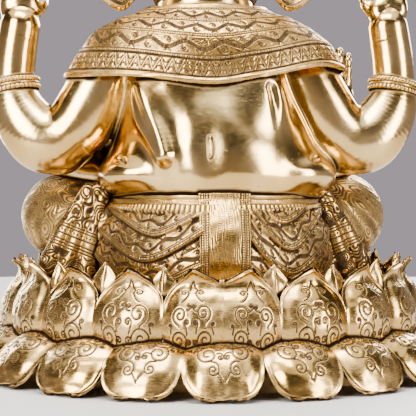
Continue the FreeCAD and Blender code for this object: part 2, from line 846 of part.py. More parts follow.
def main():
    os.makedirs("parts", exist_ok=True)
    lotus()
    fixing_bolt()
    body()
    rear_shapes = arms()
    attributes()
    heap, held = sweets()
    bowl = sweet_bowl()
    export("sweets", [trim(ball, [bowl]) for ball in heap])
    export("trunk_sweet", held)
    shawl(rear_shapes)
    export("necklace", necklace(levels(TORSO)))
    head()


main()
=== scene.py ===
"""Brass Ganesha idol on a double lotus base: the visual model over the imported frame.

Lengths are in millimetres here and are turned into metres when a mesh is made.
"""

import json
import math

import bpy
import numpy as np
import openvdb as vdb
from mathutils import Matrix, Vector


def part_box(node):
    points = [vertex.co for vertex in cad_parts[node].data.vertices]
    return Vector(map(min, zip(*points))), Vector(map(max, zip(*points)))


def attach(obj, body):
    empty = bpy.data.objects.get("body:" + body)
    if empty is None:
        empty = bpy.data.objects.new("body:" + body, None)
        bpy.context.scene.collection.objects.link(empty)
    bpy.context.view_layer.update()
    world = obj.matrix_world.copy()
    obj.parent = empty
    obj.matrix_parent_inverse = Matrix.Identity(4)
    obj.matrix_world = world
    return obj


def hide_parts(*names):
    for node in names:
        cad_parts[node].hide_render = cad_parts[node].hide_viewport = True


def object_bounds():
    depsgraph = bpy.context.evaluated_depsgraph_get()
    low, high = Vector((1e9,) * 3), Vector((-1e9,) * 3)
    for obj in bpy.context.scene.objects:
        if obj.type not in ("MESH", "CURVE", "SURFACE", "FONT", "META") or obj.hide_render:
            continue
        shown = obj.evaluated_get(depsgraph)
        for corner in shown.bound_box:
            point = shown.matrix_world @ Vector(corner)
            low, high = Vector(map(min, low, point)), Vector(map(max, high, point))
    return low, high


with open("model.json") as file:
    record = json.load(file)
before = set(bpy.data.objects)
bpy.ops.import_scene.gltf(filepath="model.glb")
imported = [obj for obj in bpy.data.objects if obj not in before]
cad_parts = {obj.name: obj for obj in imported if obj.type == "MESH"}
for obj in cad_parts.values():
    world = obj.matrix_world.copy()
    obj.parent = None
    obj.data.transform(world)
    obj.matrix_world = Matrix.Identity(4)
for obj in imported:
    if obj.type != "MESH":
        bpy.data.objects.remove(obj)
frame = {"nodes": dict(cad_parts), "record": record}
CAD_LOW, CAD_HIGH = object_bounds()

MM = 0.001
FAR = 60.0
SEED = 7


def node_box(name):
    """Lowest and highest corner of a CAD node, in millimetres."""
    low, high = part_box(name)
    return np.array(low) / MM, np.array(high) / MM


def middle(name):
    low, high = node_box(name)
    return (low + high) / 2


# Where the CAD model says things are.
FIGURE_X = middle("crown_finial")[0]
LOWER_R = node_box("lower_petals")[1][0]
IDOL_TOP_Z = CAD_HIGH[2] / MM
SIDES = {"left": 1, "right": -1}


# ---------------------------------------------------------------- meshes


def catmull(rows, per):
    """Rows of numbers resampled along a smooth line through them."""
    rows = np.array(rows, float)
    ends = np.vstack([2 * rows[0] - rows[1], rows, 2 * rows[-1] - rows[-2]])
    out = []
    for i in range(len(rows) - 1):
        a, b, c, d = ends[i : i + 4]
        for t in np.linspace(0, 1, per, endpoint=False):
            square, cube = 2 * a - 5 * b + 4 * c - d, 3 * b - a - 3 * c + d
            out.append(0.5 * (2 * b + (c - a) * t + square * t**2 + cube * t**3))
    out.append(rows[-1])
    return np.array(out)


def smooth_at(x, table):
    """Smooth interpolation of a table of (x, value, ...) rows at each x."""
    fine = catmull(table, 12)
    return [np.interp(x, fine[:, 0], fine[:, k]) for k in range(1, fine.shape[1])]


def grid_quads(rows, columns, wrap):
    """Quads over a grid of rows by columns of points, joined round each row if wrap is set."""
    r = np.arange(rows - 1)[:, None]
    c = np.arange(columns if wrap else columns - 1)[None, :]
    after = (c + 1) % columns
    here, up = r * columns, (r + 1) * columns
    return np.stack([here + c, here + after, up + after, up + c], -1).reshape(-1, 4)


def cast(name, shape, material, nodes):
    """A piece from a (points, quads, groove, tris) set."""
    points, quads, groove, tris = shape
    return piece(name, points, quads, tris, material, nodes, groove)


def piece(name, points, quads, tris, material, nodes, groove=None):
    """A mesh object that rides on the root and stands for CAD nodes."""
    mesh = bpy.data.meshes.new(name)
    quads = np.asarray(quads, np.int32).reshape(-1, 4)
    tris = np.asarray(tris, np.int32).reshape(-1, 3)
    mesh.vertices.add(len(points))
    mesh.vertices.foreach_set("co", (np.asarray(points, np.float32) * MM).ravel())
    mesh.loops.add(quads.size + tris.size)
    mesh.loops.foreach_set("vertex_index", np.concatenate([quads.ravel(), tris.ravel()]))
    mesh.polygons.add(len(quads) + len(tris))
    starts = np.concatenate([np.arange(len(quads)) * 4, quads.size + np.arange(len(tris)) * 3])
    mesh.polygons.foreach_set("loop_start", starts.astype(np.int32))
    mesh.polygons.foreach_set("use_smooth", np.ones(len(starts), bool))
    mesh.update(calc_edges=True)
    mesh.validate()
    carved = mesh.attributes.new("groove", "FLOAT", "POINT")
    values = np.zeros(len(points), np.float32) if groove is None else np.asarray(groove, np.float32)
    carved.data.foreach_set("value", values)
    mesh.materials.append(material)
    obj = bpy.data.objects.new(name, mesh)
    bpy.context.collection.objects.link(obj)
    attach(obj, "root")
    if nodes:
        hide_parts(*nodes)
    return obj


def sheet_normals(points, wrap):
    """Unit normals of a grid of points, by rows and columns."""
    if wrap:
        along = np.roll(points, -1, 1) - np.roll(points, 1, 1)
    else:
        along = np.gradient(points, axis=1)
    up = np.gradient(points, axis=0)
    normal = np.cross(along, up)
    return normal / np.maximum(np.linalg.norm(normal, axis=-1, keepdims=True), 1e-9)


def closed_sheet(outer, thickness, groove, inner_columns=16):
    """A closed shell from an open grid of outer points, with a plainer inner side thickness under it."""
    rows, columns = outer.shape[:2]
    inner = outer - sheet_normals(outer, False) * thickness
    keep = np.linspace(columns - 1, 0, inner_columns).round().astype(int)
    points = np.concatenate([outer, inner[:, keep]], 1)
    count = columns + inner_columns
    quads = [grid_quads(rows, count, True)]
    tris = []
    for row, order in ((0, -1), (rows - 1, 1)):
        base = row * count
        half_way = columns + inner_columns // 2
        middle_point = base + half_way
        rim = [*range(half_way - 1), *range(half_way + 1, count)]
        fan = [(base + i, base + (i + 1) % count, middle_point) for i in rim]
        tris.append(np.array(fan)[:, ::order])
    carved = np.concatenate([groove, np.zeros((rows, inner_columns))], 1)
    return points.reshape(-1, 3), np.concatenate(quads), carved.ravel(), np.concatenate(tris)


def turned_z(points, degrees):
    c, s = math.cos(math.radians(degrees)), math.sin(math.radians(degrees))
    return points @ np.array([[c, s, 0], [-s, c, 0], [0, 0, 1]])


def joined(parts):
    """Several (points, quads, groove, tris) sets as one."""
    points, quads, groove, tris, base = [], [], [], [], 0
    for part_points, part_quads, part_groove, part_tris in parts:
        points.append(part_points)
        quads.append(part_quads + base)
        groove.append(part_groove)
        tris.append(np.asarray(part_tris, int).reshape(-1, 3) + base)
        base += len(part_points)
    return np.concatenate(points), np.concatenate(quads), np.concatenate(groove), np.concatenate(tris)


# ---------------------------------------------------------------- sculpting


def smooth_min(a, b, blend):
    if blend <= 0:
        return np.minimum(a, b)
    h = np.clip(0.5 + 0.5 * (b - a) / blend, 0, 1)
    return b + (a - b) * h - blend * h * (1 - h)


class Sculpt:
    """A body in clay: rounded forms are added and carved with soft joins, then meshed."""

    def __init__(self):
        self.steps = []

    def step(self, low, high, form, blend, sign):
        margin = blend + 4.0
        self.steps.append((np.array(low) - margin, np.array(high) + margin, form, blend, sign))

    def tube(self, stations, blend=0.0, per=5, sign=1):
        """A tapering round limb through (x, y, z, radius) stations."""
        fine = catmull(stations, per)
        reach = fine[:, 3:].max()
        self.step(fine[:, :3].min(0) - reach, fine[:, :3].max(0) + reach, chain(fine), blend, sign)

    def ball(self, centre, radii, blend=0.0, sign=1, turn=None):
        """An ellipsoid. turn is a 3x3 matrix whose rows are its own axes."""
        centre, radii = np.array(centre, float), np.array(radii, float) * np.ones(3)
        reach = radii if turn is None else np.ones(3) * radii.max()
        self.step(centre - reach, centre + reach, ellipsoid(centre, radii, turn), blend, sign)

    def at(self, points):
        """The signed distance at each point, nearly."""
        value = np.full(len(points), FAR)
        for low, high, form, blend, sign in self.steps:
            near = np.all((points >= low) & (points <= high), axis=1)
            if not near.any():
                continue
            d = form(*points[near].T)
            value[near] = self.mix(value[near], d, blend, sign)
        return value

    @staticmethod
    def mix(value, d, blend, sign):
        if sign > 0:
            return smooth_min(value, d, blend)
        return -smooth_min(-value, d, blend)

    def field(self, voxel):
        low = np.min([s[0] for s in self.steps if s[4] > 0], axis=0)
        high = np.max([s[1] for s in self.steps if s[4] > 0], axis=0)
        low = np.floor(low / voxel) * voxel
        count = np.ceil((high - low) / voxel).astype(int) + 1
        axes = [low[k] + voxel * np.arange(count[k]) for k in range(3)]
        value = np.full(count, FAR, np.float32)
        for step_low, step_high, form, blend, sign in self.steps:
            span = []
            for k in range(3):
                start = max(int((step_low[k] - low[k]) / voxel), 0)
                stop = min(int(math.ceil((step_high[k] - low[k]) / voxel)) + 1, count[k])
                span.append(slice(start, stop))
            if any(s.stop <= s.start for s in span):
                continue
            x = axes[0][span[0]][:, None, None].astype(np.float32)
            y = axes[1][span[1]][None, :, None].astype(np.float32)
            z = axes[2][span[2]][None, None, :].astype(np.float32)
            window = tuple(span)
            value[window] = self.mix(value[window], form(x, y, z), blend, sign)
        return low, value

    def mesh(self, voxel, settle=2):
        """Points, quads and normals of the surface."""
        low, value = self.field(voxel)
        band = 3 * voxel
        grid = vdb.FloatGrid(band)
        grid.copyFromArray(np.clip(value, -band, band), tolerance=0.0)
        points, _, quads = grid.convertToPolygons(0.0, 0.0)
        points = np.array(points, float) * voxel + low
        quads = np.array(quads, np.int64)
        for _ in range(settle):
            slope = self.slope(points)
            size = np.maximum(np.sum(slope**2, 1), 0.2)
            points -= np.clip(self.at(points) / size, -voxel, voxel)[:, None] * slope
        slope = self.slope(points)
        normals = slope / np.maximum(np.linalg.norm(slope, axis=1, keepdims=True), 1e-9)
        return points, quads, normals

    def slope(self, points, h=0.15):
        parts = []
        for k in range(3):
            shift = np.zeros(3)
            shift[k] = h
            parts.append((self.at(points + shift) - self.at(points - shift)) / (2 * h))
        return np.stack(parts, 1)


def chain(fine):
    """The distance to a run of rods between (x, y, z, radius) points."""

    def form(x, y, z):
        nearest = None
        for a, b in zip(fine[:-1], fine[1:]):
            way = b[:3] - a[:3]
            square = max(float(way @ way), 1e-9)
            px, py, pz = x - a[0], y - a[1], z - a[2]
            t = np.clip((px * way[0] + py * way[1] + pz * way[2]) / square, 0, 1)
            gap = np.sqrt((px - t * way[0]) ** 2 + (py - t * way[1]) ** 2 + (pz - t * way[2]) ** 2)
            gap = gap - (a[3] + t * (b[3] - a[3]))
            nearest = gap if nearest is None else np.minimum(nearest, gap)
        return nearest

    return form


def ellipsoid(centre, radii, turn):
    def form(x, y, z):
        p = (x - centre[0], y - centre[1], z - centre[2])
        if turn is not None:
            p = tuple(turn[k][0] * p[0] + turn[k][1] * p[1] + turn[k][2] * p[2] for k in range(3))
        near = np.sqrt(sum((p[k] / radii[k]) ** 2 for k in range(3)))
        slope = np.sqrt(sum((p[k] / radii[k] ** 2) ** 2 for k in range(3)))
        return near * (near - 1) / np.maximum(slope, 1e-6)

    return form


def ovals(table):
    """The distance to a body of level ovals given as (z, x, y, radius_x, radius_y), closed by flat ends."""
    fine = catmull(table, 12)

    def form(x, y, z):
        cx, cy, rx, ry = (np.interp(z, fine[:, 0], fine[:, k]) for k in range(1, 5))
        px, py = x - cx, y - cy
        share = np.sqrt((px / rx) ** 2 + (py / ry) ** 2)
        gap = np.sqrt(px**2 + py**2) * (1 - 1 / np.maximum(share, 1e-3))
        return np.maximum(gap, np.maximum(fine[0, 0] - z, z - fine[-1, 0]))

    return form


# ---------------------------------------------------------------- engraving


def soft_line(distance, width):
    """1 in the middle of a cut line, falling to 0 at its edge."""
    return np.clip(1.7 * (1 - np.abs(distance) / (width / 2)), 0, 1)


def cut_lines(u, v, curves, width):
    """How deep each (u, v) lies in the cut lines along the curves, from 0 to 1."""
    shape = np.shape(u)
    u, v = np.ravel(u).astype(np.float32), np.ravel(v).astype(np.float32)
    nearest = np.full(u.shape, 1e6, np.float32)
    for curve in curves:
        low, high = curve.min(0) - width, curve.max(0) + width
        inside = np.flatnonzero((u > low[0]) & (u < high[0]) & (v > low[1]) & (v < high[1]))
        pu, pv = u[inside], v[inside]
        best = nearest[inside]
        for a, b in zip(curve[:-1], curve[1:]):
            way = b - a
            t = np.clip(((pu - a[0]) * way[0] + (pv - a[1]) * way[1]) / max(float(way @ way), 1e-9), 0, 1)
            gap = (pu - a[0] - t * way[0]) ** 2 + (pv - a[1] - t * way[1]) ** 2
            best = np.minimum(best, gap)
        nearest[inside] = best
    return soft_line(np.sqrt(nearest), width).reshape(shape)


def spiral(centre, radius, start, turns, hand=1, tail=None):
    """A curl that winds in to its centre from angle start (degrees). Its stem comes from the point tail."""
    swing = np.linspace(0, 1, 22)
    angle = math.radians(start) + hand * 2 * math.pi * turns * swing
    reach = radius * (1 - 0.82 * swing)
    curl = np.stack([centre[0] + reach * np.cos(angle), centre[1] + reach * np.sin(angle)], 1)
    if tail is None:
        return curl
    heading = np.array([-math.sin(angle[0]), math.cos(angle[0])]) * hand
    tail = np.array(tail, float)
    gap = np.linalg.norm(curl[0] - tail)
    bend = curl[0] - heading * gap * 0.6
    t = np.linspace(0, 1, 12, endpoint=False)[:, None]
    stem = (1 - t) ** 2 * tail + 2 * t * (1 - t) * bend + t**2 * curl[0]
    return np.concatenate([stem, curl])


def swirl_noise(points, scale, seed):
    """A smooth random height at each 3-D point and the size of its slope."""
    rng = np.random.default_rng(seed)
    ways = rng.normal(size=(9, 3))
    ways /= np.linalg.norm(ways, axis=1, keepdims=True)
    ways *= 2 * math.pi / (scale * rng.uniform(0.7, 1.6, (9, 1)))
    height, slope = 0, 0
    for way, phase in zip(ways, rng.uniform(0, 6.28, 9)):
        turn = points @ way + phase
        height = height + np.sin(turn)
        slope = slope + np.cos(turn)[..., None] * way
    return height / 3, np.linalg.norm(slope, axis=-1) / 3


def contour_lines(points, scale, spacing, width, seed):
    """Swirling cut lines that run along the contours of a smooth random height."""
    height, slope = swirl_noise(points, scale, seed)
    steps = scale / spacing * 0.45
    gap = np.abs((height * steps) % 1.0 - 0.5) / np.maximum(slope * steps, 0.12)
    return soft_line(gap, width)


# ---------------------------------------------------------------- materials


def shader(material):
    material.use_nodes = True
    tree = material.node_tree
    return tree, tree.nodes["Principled BSDF"]


def add_node(tree, kind, **settings):
    node = tree.nodes.new(kind)
    for key, value in settings.items():
        if key in node.inputs:
            node.inputs[key].default_value = value
        else:
            setattr(node, key, value)
    return node


def ramp(tree, source, low, high, start=0.0, end=1.0):
    """source carried from low..high to start..end, and held there beyond."""
    node = add_node(tree, "ShaderNodeMapRange")
    for key, value in (("From Min", low), ("From Max", high), ("To Min", start), ("To Max", end)):
        node.inputs[key].default_value = value
    tree.links.new(source, node.inputs["Value"])
    return node.outputs["Result"]


def maths(tree, operation, first, second):
    node = add_node(tree, "ShaderNodeMath", operation=operation)
    for socket, value in zip(node.inputs, (first, second)):
        if isinstance(value, (int, float)):
            socket.default_value = value
        else:
            tree.links.new(value, socket)
    return node.outputs[0]


def blend_colour(tree, share, first, second):
    node = add_node(tree, "ShaderNodeMix", data_type="RGBA")
    for socket, value in ((node.inputs[0], share), (node.inputs[6], first), (node.inputs[7], second)):
        if isinstance(value, tuple):
            socket.default_value = (*value, 1)
        else:
            tree.links.new(value, socket)
    return node.outputs[2]


def noise(tree, coords, scale, detail=2.0, stretch=(1, 1, 1)):
    mapping = add_node(tree, "ShaderNodeMapping")
    mapping.inputs["Scale"].default_value = stretch
    tree.links.new(coords, mapping.inputs["Vector"])
    node = add_node(tree, "ShaderNodeTexNoise", Scale=scale, Detail=detail)
    tree.links.new(mapping.outputs[0], node.inputs["Vector"])
    return node.outputs["Fac"]


def brass(name, gold, pale, patina_and_shade, rough, ground=0.0, wear=0.6):
    """Brass with brown patina in its cut lines, and painted shade of the same brown in its creases and under
    neighbouring parts. ground is how much lies over open metal.
    """
    material = bpy.data.materials.new(name + "_finish")
    material["slot"] = name
    tree, body = shader(material)
    coords = add_node(tree, "ShaderNodeTexCoord").outputs["Object"]
    groove = add_node(tree, "ShaderNodeAttribute", attribute_name="groove").outputs["Fac"]
    occlusion_shade = add_node(tree, "ShaderNodeAttribute", attribute_name="occlusion_shade").outputs["Fac"]
    cloudy = noise(tree, coords, 22.0, 3.0)
    mottled = noise(tree, coords, 160.0, 4.0)
    brushed = noise(tree, coords, 900.0, 2.0, (0.25, 0.25, 1.6))
    crossed = noise(tree, coords, 700.0, 2.0, (1.5, 1.5, 0.12))
    pits = add_node(tree, "ShaderNodeTexVoronoi", Scale=190.0)
    tree.links.new(coords, pits.inputs["Vector"])
    pit = ramp(tree, pits.outputs["Distance"], 0.05, 0.11, 1.0, 0.0)
    sparse = ramp(tree, noise(tree, coords, 45.0, 1.0), 0.6, 0.68)
    pit = maths(tree, "MULTIPLY", pit, sparse)
    metal = blend_colour(tree, ramp(tree, cloudy, 0.35, 0.65), gold, pale)
    # painted shade: darker in creases and under neighbouring parts, from the occlusion bake stored on each
    # piece, blended towards the patina brown
    crease_shade = ramp(tree, maths(tree, "ADD", occlusion_shade, maths(tree, "MULTIPLY", mottled, 0.3)), 0.36, 0.82)
    stain = ramp(tree, maths(tree, "ADD", mottled, cloudy), 1.0, 1.3, 0.0, ground)
    worn = ramp(tree, mottled, 0.3, 0.62, 1.0 - wear * 0.2, 1.0)
    # the groove attribute: patina in the cut lines, and on the hip cloth also the painted shadow under each
    # fold
    cut = ramp(tree, groove, 0.2, 0.8)
    dark = maths(tree, "MAXIMUM", maths(tree, "MULTIPLY", cut, worn), maths(tree, "MAXIMUM", crease_shade, stain))
    dark = maths(tree, "MAXIMUM", dark, maths(tree, "MULTIPLY", pit, 0.8))
    colour = blend_colour(tree, dark, metal, patina_and_shade)
    tree.links.new(colour, body.inputs["Base Color"])
    tree.links.new(ramp(tree, dark, 0.0, 1.0, 1.0, 0.3), body.inputs["Metallic"])
    body.inputs["Specular IOR Level"].default_value = 0.3
    gloss = ramp(tree, dark, 0.0, 1.0, rough, 0.62)
    gloss = maths(tree, "ADD", ramp(tree, brushed, 0.3, 0.7, -0.04, 0.06), gloss)
    gloss = maths(tree, "ADD", gloss, ramp(tree, cloudy, 0.3, 0.7, -0.03, 0.05))
    tree.links.new(gloss, body.inputs["Roughness"])
    relief = maths(tree, "MULTIPLY", crossed, 0.25)
    relief = maths(tree, "ADD", maths(tree, "MULTIPLY", brushed, 0.35), relief)
    relief = maths(tree, "SUBTRACT", maths(tree, "ADD", relief, mottled), maths(tree, "MULTIPLY", pit, 2.0))
    bump = add_node(tree, "ShaderNodeBump", Strength=0.16, Distance=0.0004)
    tree.links.new(relief, bump.inputs["Height"])
    tree.links.new(bump.outputs[0], body.inputs["Normal"])
    return material


def steel(name):
    material = bpy.data.materials.new(name)
    tree, body = shader(material)
    coords = add_node(tree, "ShaderNodeTexCoord").outputs["Object"]
    grain = noise(tree, coords, 800.0, 2.0, (1, 1, 0.1))
    blotch = noise(tree, coords, 120.0, 3.0)
    body.inputs["Metallic"].default_value = 1.0
    colour = blend_colour(tree, blotch, (0.42, 0.42, 0.41), (0.6, 0.6, 0.61))
    tree.links.new(colour, body.inputs["Base Color"])
    tree.links.new(ramp(tree, grain, 0.3, 0.7, 0.28, 0.5), body.inputs["Roughness"])
    bump = add_node(tree, "ShaderNodeBump", Strength=0.2, Distance=0.0002)
    tree.links.new(grain, bump.inputs["Height"])
    tree.links.new(bump.outputs[0], body.inputs["Normal"])
    return material


# the brown of the patina in the cut lines, also used for the painted shade in creases and under neighbouring
# parts
PATINA_AND_SHADE = (0.035, 0.016, 0.006)
POLISHED = brass("polished_brass", (0.66, 0.44, 0.17), (0.76, 0.56, 0.27), PATINA_AND_SHADE, 0.17)
ENGRAVED = brass("engraved_brass", (0.54, 0.34, 0.12), (0.68, 0.46, 0.19), PATINA_AND_SHADE, 0.27, ground=0.5)
PETAL = brass("petal_brass", (0.60, 0.39, 0.14), (0.72, 0.50, 0.22), PATINA_AND_SHADE, 0.22, ground=0.2)
ORNAMENT = brass("ornament_brass", (0.57, 0.37, 0.13), (0.69, 0.47, 0.2), PATINA_AND_SHADE, 0.25, ground=0.35)
DARK = brass("dark_brass", (0.16, 0.085, 0.035), (0.27, 0.16, 0.075), (0.02, 0.01, 0.005), 0.42, ground=0.5)
CAST = brass("base_brass", (0.40, 0.27, 0.13), (0.55, 0.40, 0.21), PATINA_AND_SHADE, 0.42, ground=0.9)
STEEL = steel("fixing_steel")


# ---------------------------------------------------------------- lotus base

PETALS = 20
SEAM_PETAL_DEG = 15.0
# root to tip: radius from the base's axis, z, half width, crown across its width
LOWER_PETAL = [
    (160, 36.0, 27, 2),
    (173, 36.0, 30, 6),
    (186, 30.5, 31.2, 8.5),
    (196, 21.5, 31.0, 9),
    (203, 12.5, 28.5, 7.5),
    (LOWER_R - 3.5, 6.5, 23, 5),
    (LOWER_R - 1.0, 3.6, 14, 2.5),
    (LOWER_R + 0.3, 2.6, 5, 0.8),
    (LOWER_R + 0.8, 2.2, 0.6, 0.1),
]
UPPER_PETAL = [
    (160, 34, 21, 2),
    (167, 34.5, 25.5, 5),
    (172.5, 39.5, 28.2, 8),
    (174.5, 49, 29.6, 9.5),
    (173, 59, 29.9, 9.5),
    (169, 68.5, 28.6, 8.5),
    (165, 77, 24.5, 6.5),
    (164.5, 84, 17.5, 4),
    (167.5, 90, 9, 2),
    (171.5, 94.2, 2.6, 0.5),
    (173, 95.5, 0.5, 0.1),
]
INNER_PETAL = [
    (163, 70, 15, 2),
    (162, 80, 14.5, 4),
    (160.5, 90, 8.5, 3),
    (160.5, 96.5, 2.5, 0.8),
    (160.8, 99, 0.5, 0.1),
]
SEAM_DIP_Z = 86.0


def along(profile, step):
    """A profile resampled evenly, with the distance from its root."""
    fine = catmull(profile, 24)
    reach = np.concatenate([[0], np.cumsum(np.hypot(np.diff(fine[:, 0]), np.diff(fine[:, 1])))])
    count = int(reach[-1] / step)
    spots = np.linspace(0, reach[-1], count)
    return spots, np.stack([np.interp(spots, reach, fine[:, k]) for k in range(4)], 1)


def petal(
    profile, side, motif, lip, width_scale, seed, columns=92, step=0.65, thickness=3.6, ridge=0.0, seam=0
):
    """One petal that points along +X: a crowned leaf with a raised rim and cut scrolls.

    seam is -1 or 1 for a petal whose side runs on into its neighbour, and 0 for a free one.
    """
    spots, rows = along(profile, step)
    r, z, half, crown = rows.T
    slope_r, slope_z = np.gradient(r), np.gradient(z)
    size = np.hypot(slope_r, slope_z)
    out = np.stack([slope_z / size, -slope_r / size], 1) * side
    share = np.sin(np.linspace(-1, 1, columns) * math.pi / 2 * 0.94) / math.sin(math.pi / 2 * 0.94)
    u = share[None, :]
    wide = (half * width_scale)[:, None] * np.ones_like(u)
    drop = np.abs(u) ** 2.3
    rim_gap = wide * (1 - np.abs(u))
    if seam:
        heights = [z[0], 40.0, SEAM_DIP_Z - 4, SEAM_DIP_Z, z[-1]]
        full = np.interp(z, heights, [1.0, 1.0, 1.0, 0.93, 0.0])[:, None]
        on_seam = (np.sign(u) == seam) * np.ones_like(wide)
        wide = np.where(on_seam > 0, np.maximum(wide, full * half.max() * width_scale), wide)
        drop = np.where(on_seam > 0, drop * 0.12 + 0.25 * np.clip((z[:, None] - 60) / 60, 0, 1) * drop, drop)
        below = z[:, None] < SEAM_DIP_Z
        rim_gap = np.where((on_seam > 0) & below, 30.0, rim_gap)
    across = wide * u
    rise = crown[:, None] * (1 - drop)
    rim = np.minimum(rim_gap, (spots[-1] - spots)[:, None] * 0.8)
    upper = np.clip((spots / spots[-1])[:, None] * 2.4 - 0.5, 0, 1)
    rise = rise + lip * np.exp(-((rim / 2.0) ** 2)) * upper
    rise = rise - lip * 0.6 * np.exp(-(((rim - 5) / 3.5) ** 2)) * upper
    rise = rise + ridge * np.exp(-((across / 1.6) ** 2))
    surface = np.stack([r[:, None] + out[:, :1] * rise, across, z[:, None] + out[:, 1:] * rise], -1)
    lumps, _ = swirl_noise(surface, 26.0, seed)
    dents, _ = swirl_noise(surface, 9.0, seed + 1)
    v = spots[:, None] * np.ones_like(u)
    groove = cut_lines(across, v, motif, 1.8)
    shift = 0.5 * lumps + 0.13 * dents - 0.38 * groove
    surface[..., 0] += out[:, :1] * shift
    surface[..., 2] += out[:, 1:] * shift
    return closed_sheet(surface[:, ::side], thickness, groove[:, ::side])


# Each curl of a petal's right half: centre (share across, share up), radius share, start angle, turns, hand
# and the foot of its stem.
CURLS = [
    ((0.52, 0.18), 0.29, 180, 1.45, -1, (0.40, 0.03)),
    ((0.45, 0.45), 0.31, -60, 1.5, 1, (0.50, 0.31)),
    ((0.31, 0.75), 0.17, 185, 1.35, -1, (0.44, 0.60)),
    ((0.15, 0.35), 0.11, -10, 1.3, 1, (0.20, 0.24)),
    ((0.10, 0.53), 0.09, 200, 1.2, -1, (0.20, 0.47)),
    ((0.13, 0.15), 0.11, 0, 1.25, 1, (0.22, 0.03)),
    ((0.82, 0.33), 0.07, 200, 1.1, -1, (0.80, 0.24)),
]


def scroll_motif(half, low, high, seed):
    """The scrolls of one petal, in millimetres across and up it, cut by hand and so never quite the same."""
    rng = np.random.default_rng(seed)
    curves = []
    for hand in (-1, 1):
        flip = np.array([hand, 1])
        shift = rng.normal(0, 0.5, 2)

        def spot(share):
            shake = rng.normal(0, 0.35, 2)
            return np.array([share[0] * half, low + share[1] * (high - low)]) + shake + shift

        for centre, radius, start, turns, turn_hand, foot in CURLS:
            reach = radius * half * rng.uniform(0.92, 1.06)
            curl = spiral(spot(centre), reach, start + rng.normal(0, 8), turns, turn_hand, spot(foot))
            curves.append(curl * flip)
        curves.append(catmull([spot((0.17, 0.79)), spot((0.08, 0.85)), spot((0.0, 0.95))], 5) * flip)
    return curves


def upper_angles():
    """(angle from the rear seam, width share) of one half ring of upper petals."""
    half = PETALS // 2
    pitch = (180.0 - 2 * SEAM_PETAL_DEG) / (half - 2)
    found, edge = [], 0.0
    for width in [SEAM_PETAL_DEG] + [pitch] * (half - 2) + [SEAM_PETAL_DEG]:
        found.append((edge + width / 2, width / pitch))
        edge += width
    return found


def placed(leaf, shift, degrees):
    points, *rest = leaf
    return (turned_z(points + np.array(shift), degrees), *rest)


def lotus():
    rng = np.random.default_rng(SEED)
    lower = []
    for i in range(PETALS):
        motif = scroll_motif(26, 9, 56, 100 + i)
        leaf = petal(LOWER_PETAL, -1, motif, 1.3, rng.uniform(0.97, 1.02), 300 + i, thickness=3.2)
        shift = (rng.uniform(-0.8, 0.2), 0, rng.uniform(-0.3, 0.5))
        lower.append(placed(leaf, shift, 90 + 360.0 / PETALS * i + rng.uniform(-0.4, 0.4)))
    lower = joined(lower)
    lower[0][:, 2] = np.maximum(lower[0][:, 2], 0.4)
    cast("lower_petals_cast", lower, PETAL, ["lower_petals"])
    for side_name, side in SIDES.items():
        ring = []
        for i, (angle, share) in enumerate(upper_angles()):
            seed = 500 + i + (50 if side > 0 else 0)
            motif = scroll_motif(25 * share, 10, 68, seed)
            seam = {0: side, PETALS // 2 - 1: -side}.get(i, 0)
            scale = share if seam else share * rng.uniform(0.99, 1.02)
            leaf = petal(UPPER_PETAL, 1, motif, 1.5, scale, seed, seam=seam)
            ring.append(placed(leaf, (0, 0, 0), 90 - side * angle))
        cast(f"upper_petals_{side_name}_cast", joined(ring), PETAL, [f"upper_petals_{side_name}"])
    inner = []
    for side in SIDES.values():
        edge = SEAM_PETAL_DEG
        for i in range(PETALS // 2 - 1):
            leaf = petal(INNER_PETAL, 1, [], 0.9, rng.uniform(0.95, 1.08), 700 + i, 40, 1.0, 2.6, 1.3)
            drop = (0, 0, rng.uniform(-2.5, 1.0))
            inner.append(placed(leaf, drop, 90 - side * edge + rng.uniform(-0.8, 0.8)))
            edge += (180.0 - 2 * SEAM_PETAL_DEG) / (PETALS // 2 - 2)
    cast("inner_petals_cast", joined(inner), PETAL, ["inner_petals"])
    braze_line()


def ring_of(path, radius, around=14):
    """A tube round a closed path, as points and quads. radius is one number or one per path point."""
    path = np.asarray(path, float)
    count = len(path)
    ahead = np.roll(path, -1, 0) - np.roll(path, 1, 0)
    ahead /= np.linalg.norm(ahead, axis=1, keepdims=True)
    centre = path.mean(0)
    outward = path - centre
    outward -= ahead * np.sum(outward * ahead, 1, keepdims=True)
    outward /= np.linalg.norm(outward, axis=1, keepdims=True)
    side = np.cross(ahead, outward)
    turn = np.linspace(0, 2 * math.pi, around, endpoint=False)
    radius = np.broadcast_to(radius, (count,))[:, None, None]
    rim = np.cos(turn)[None, :, None] * outward[:, None] + np.sin(turn)[None, :, None] * side[:, None]
    points = (path[:, None] + radius * rim).reshape(-1, 3)
    i, j = np.arange(count)[:, None], np.arange(around)[None, :]
    nxt, up = (i + 1) % count, (j + 1) % around
    here, after = i * around, nxt * around
    return points, np.stack([here + up, after + up, after + j, here + j], -1).reshape(-1, 4)


def braze_line():
    """The rough bead of braze where the upper ring meets the lower one."""
    turn = np.linspace(0, 2 * math.pi, 900, endpoint=False)
    reach = 172.5 + 1.2 * np.sin(turn * 20) + 0.6 * np.sin(turn * 47 + 1)
    path = np.stack([reach * np.cos(turn), reach * np.sin(turn), 39 + 0.8 * np.sin(turn * 31)], 1)
    points, quads = ring_of(path, 3.0, 16)
    lumps, _ = swirl_noise(points, 7.0, 41)
    grit, _ = swirl_noise(points, 2.6, 42)
    centre = np.repeat(path, 16, 0)
    points = centre + (points - centre) * (1 + 0.35 * lumps + 0.28 * grit)[:, None]
    groove = np.clip(0.45 - 0.5 * grit, 0, 1)
    piece("braze_line", points, quads, [], PETAL, [], groove)


# ---------------------------------------------------------------- body and arms

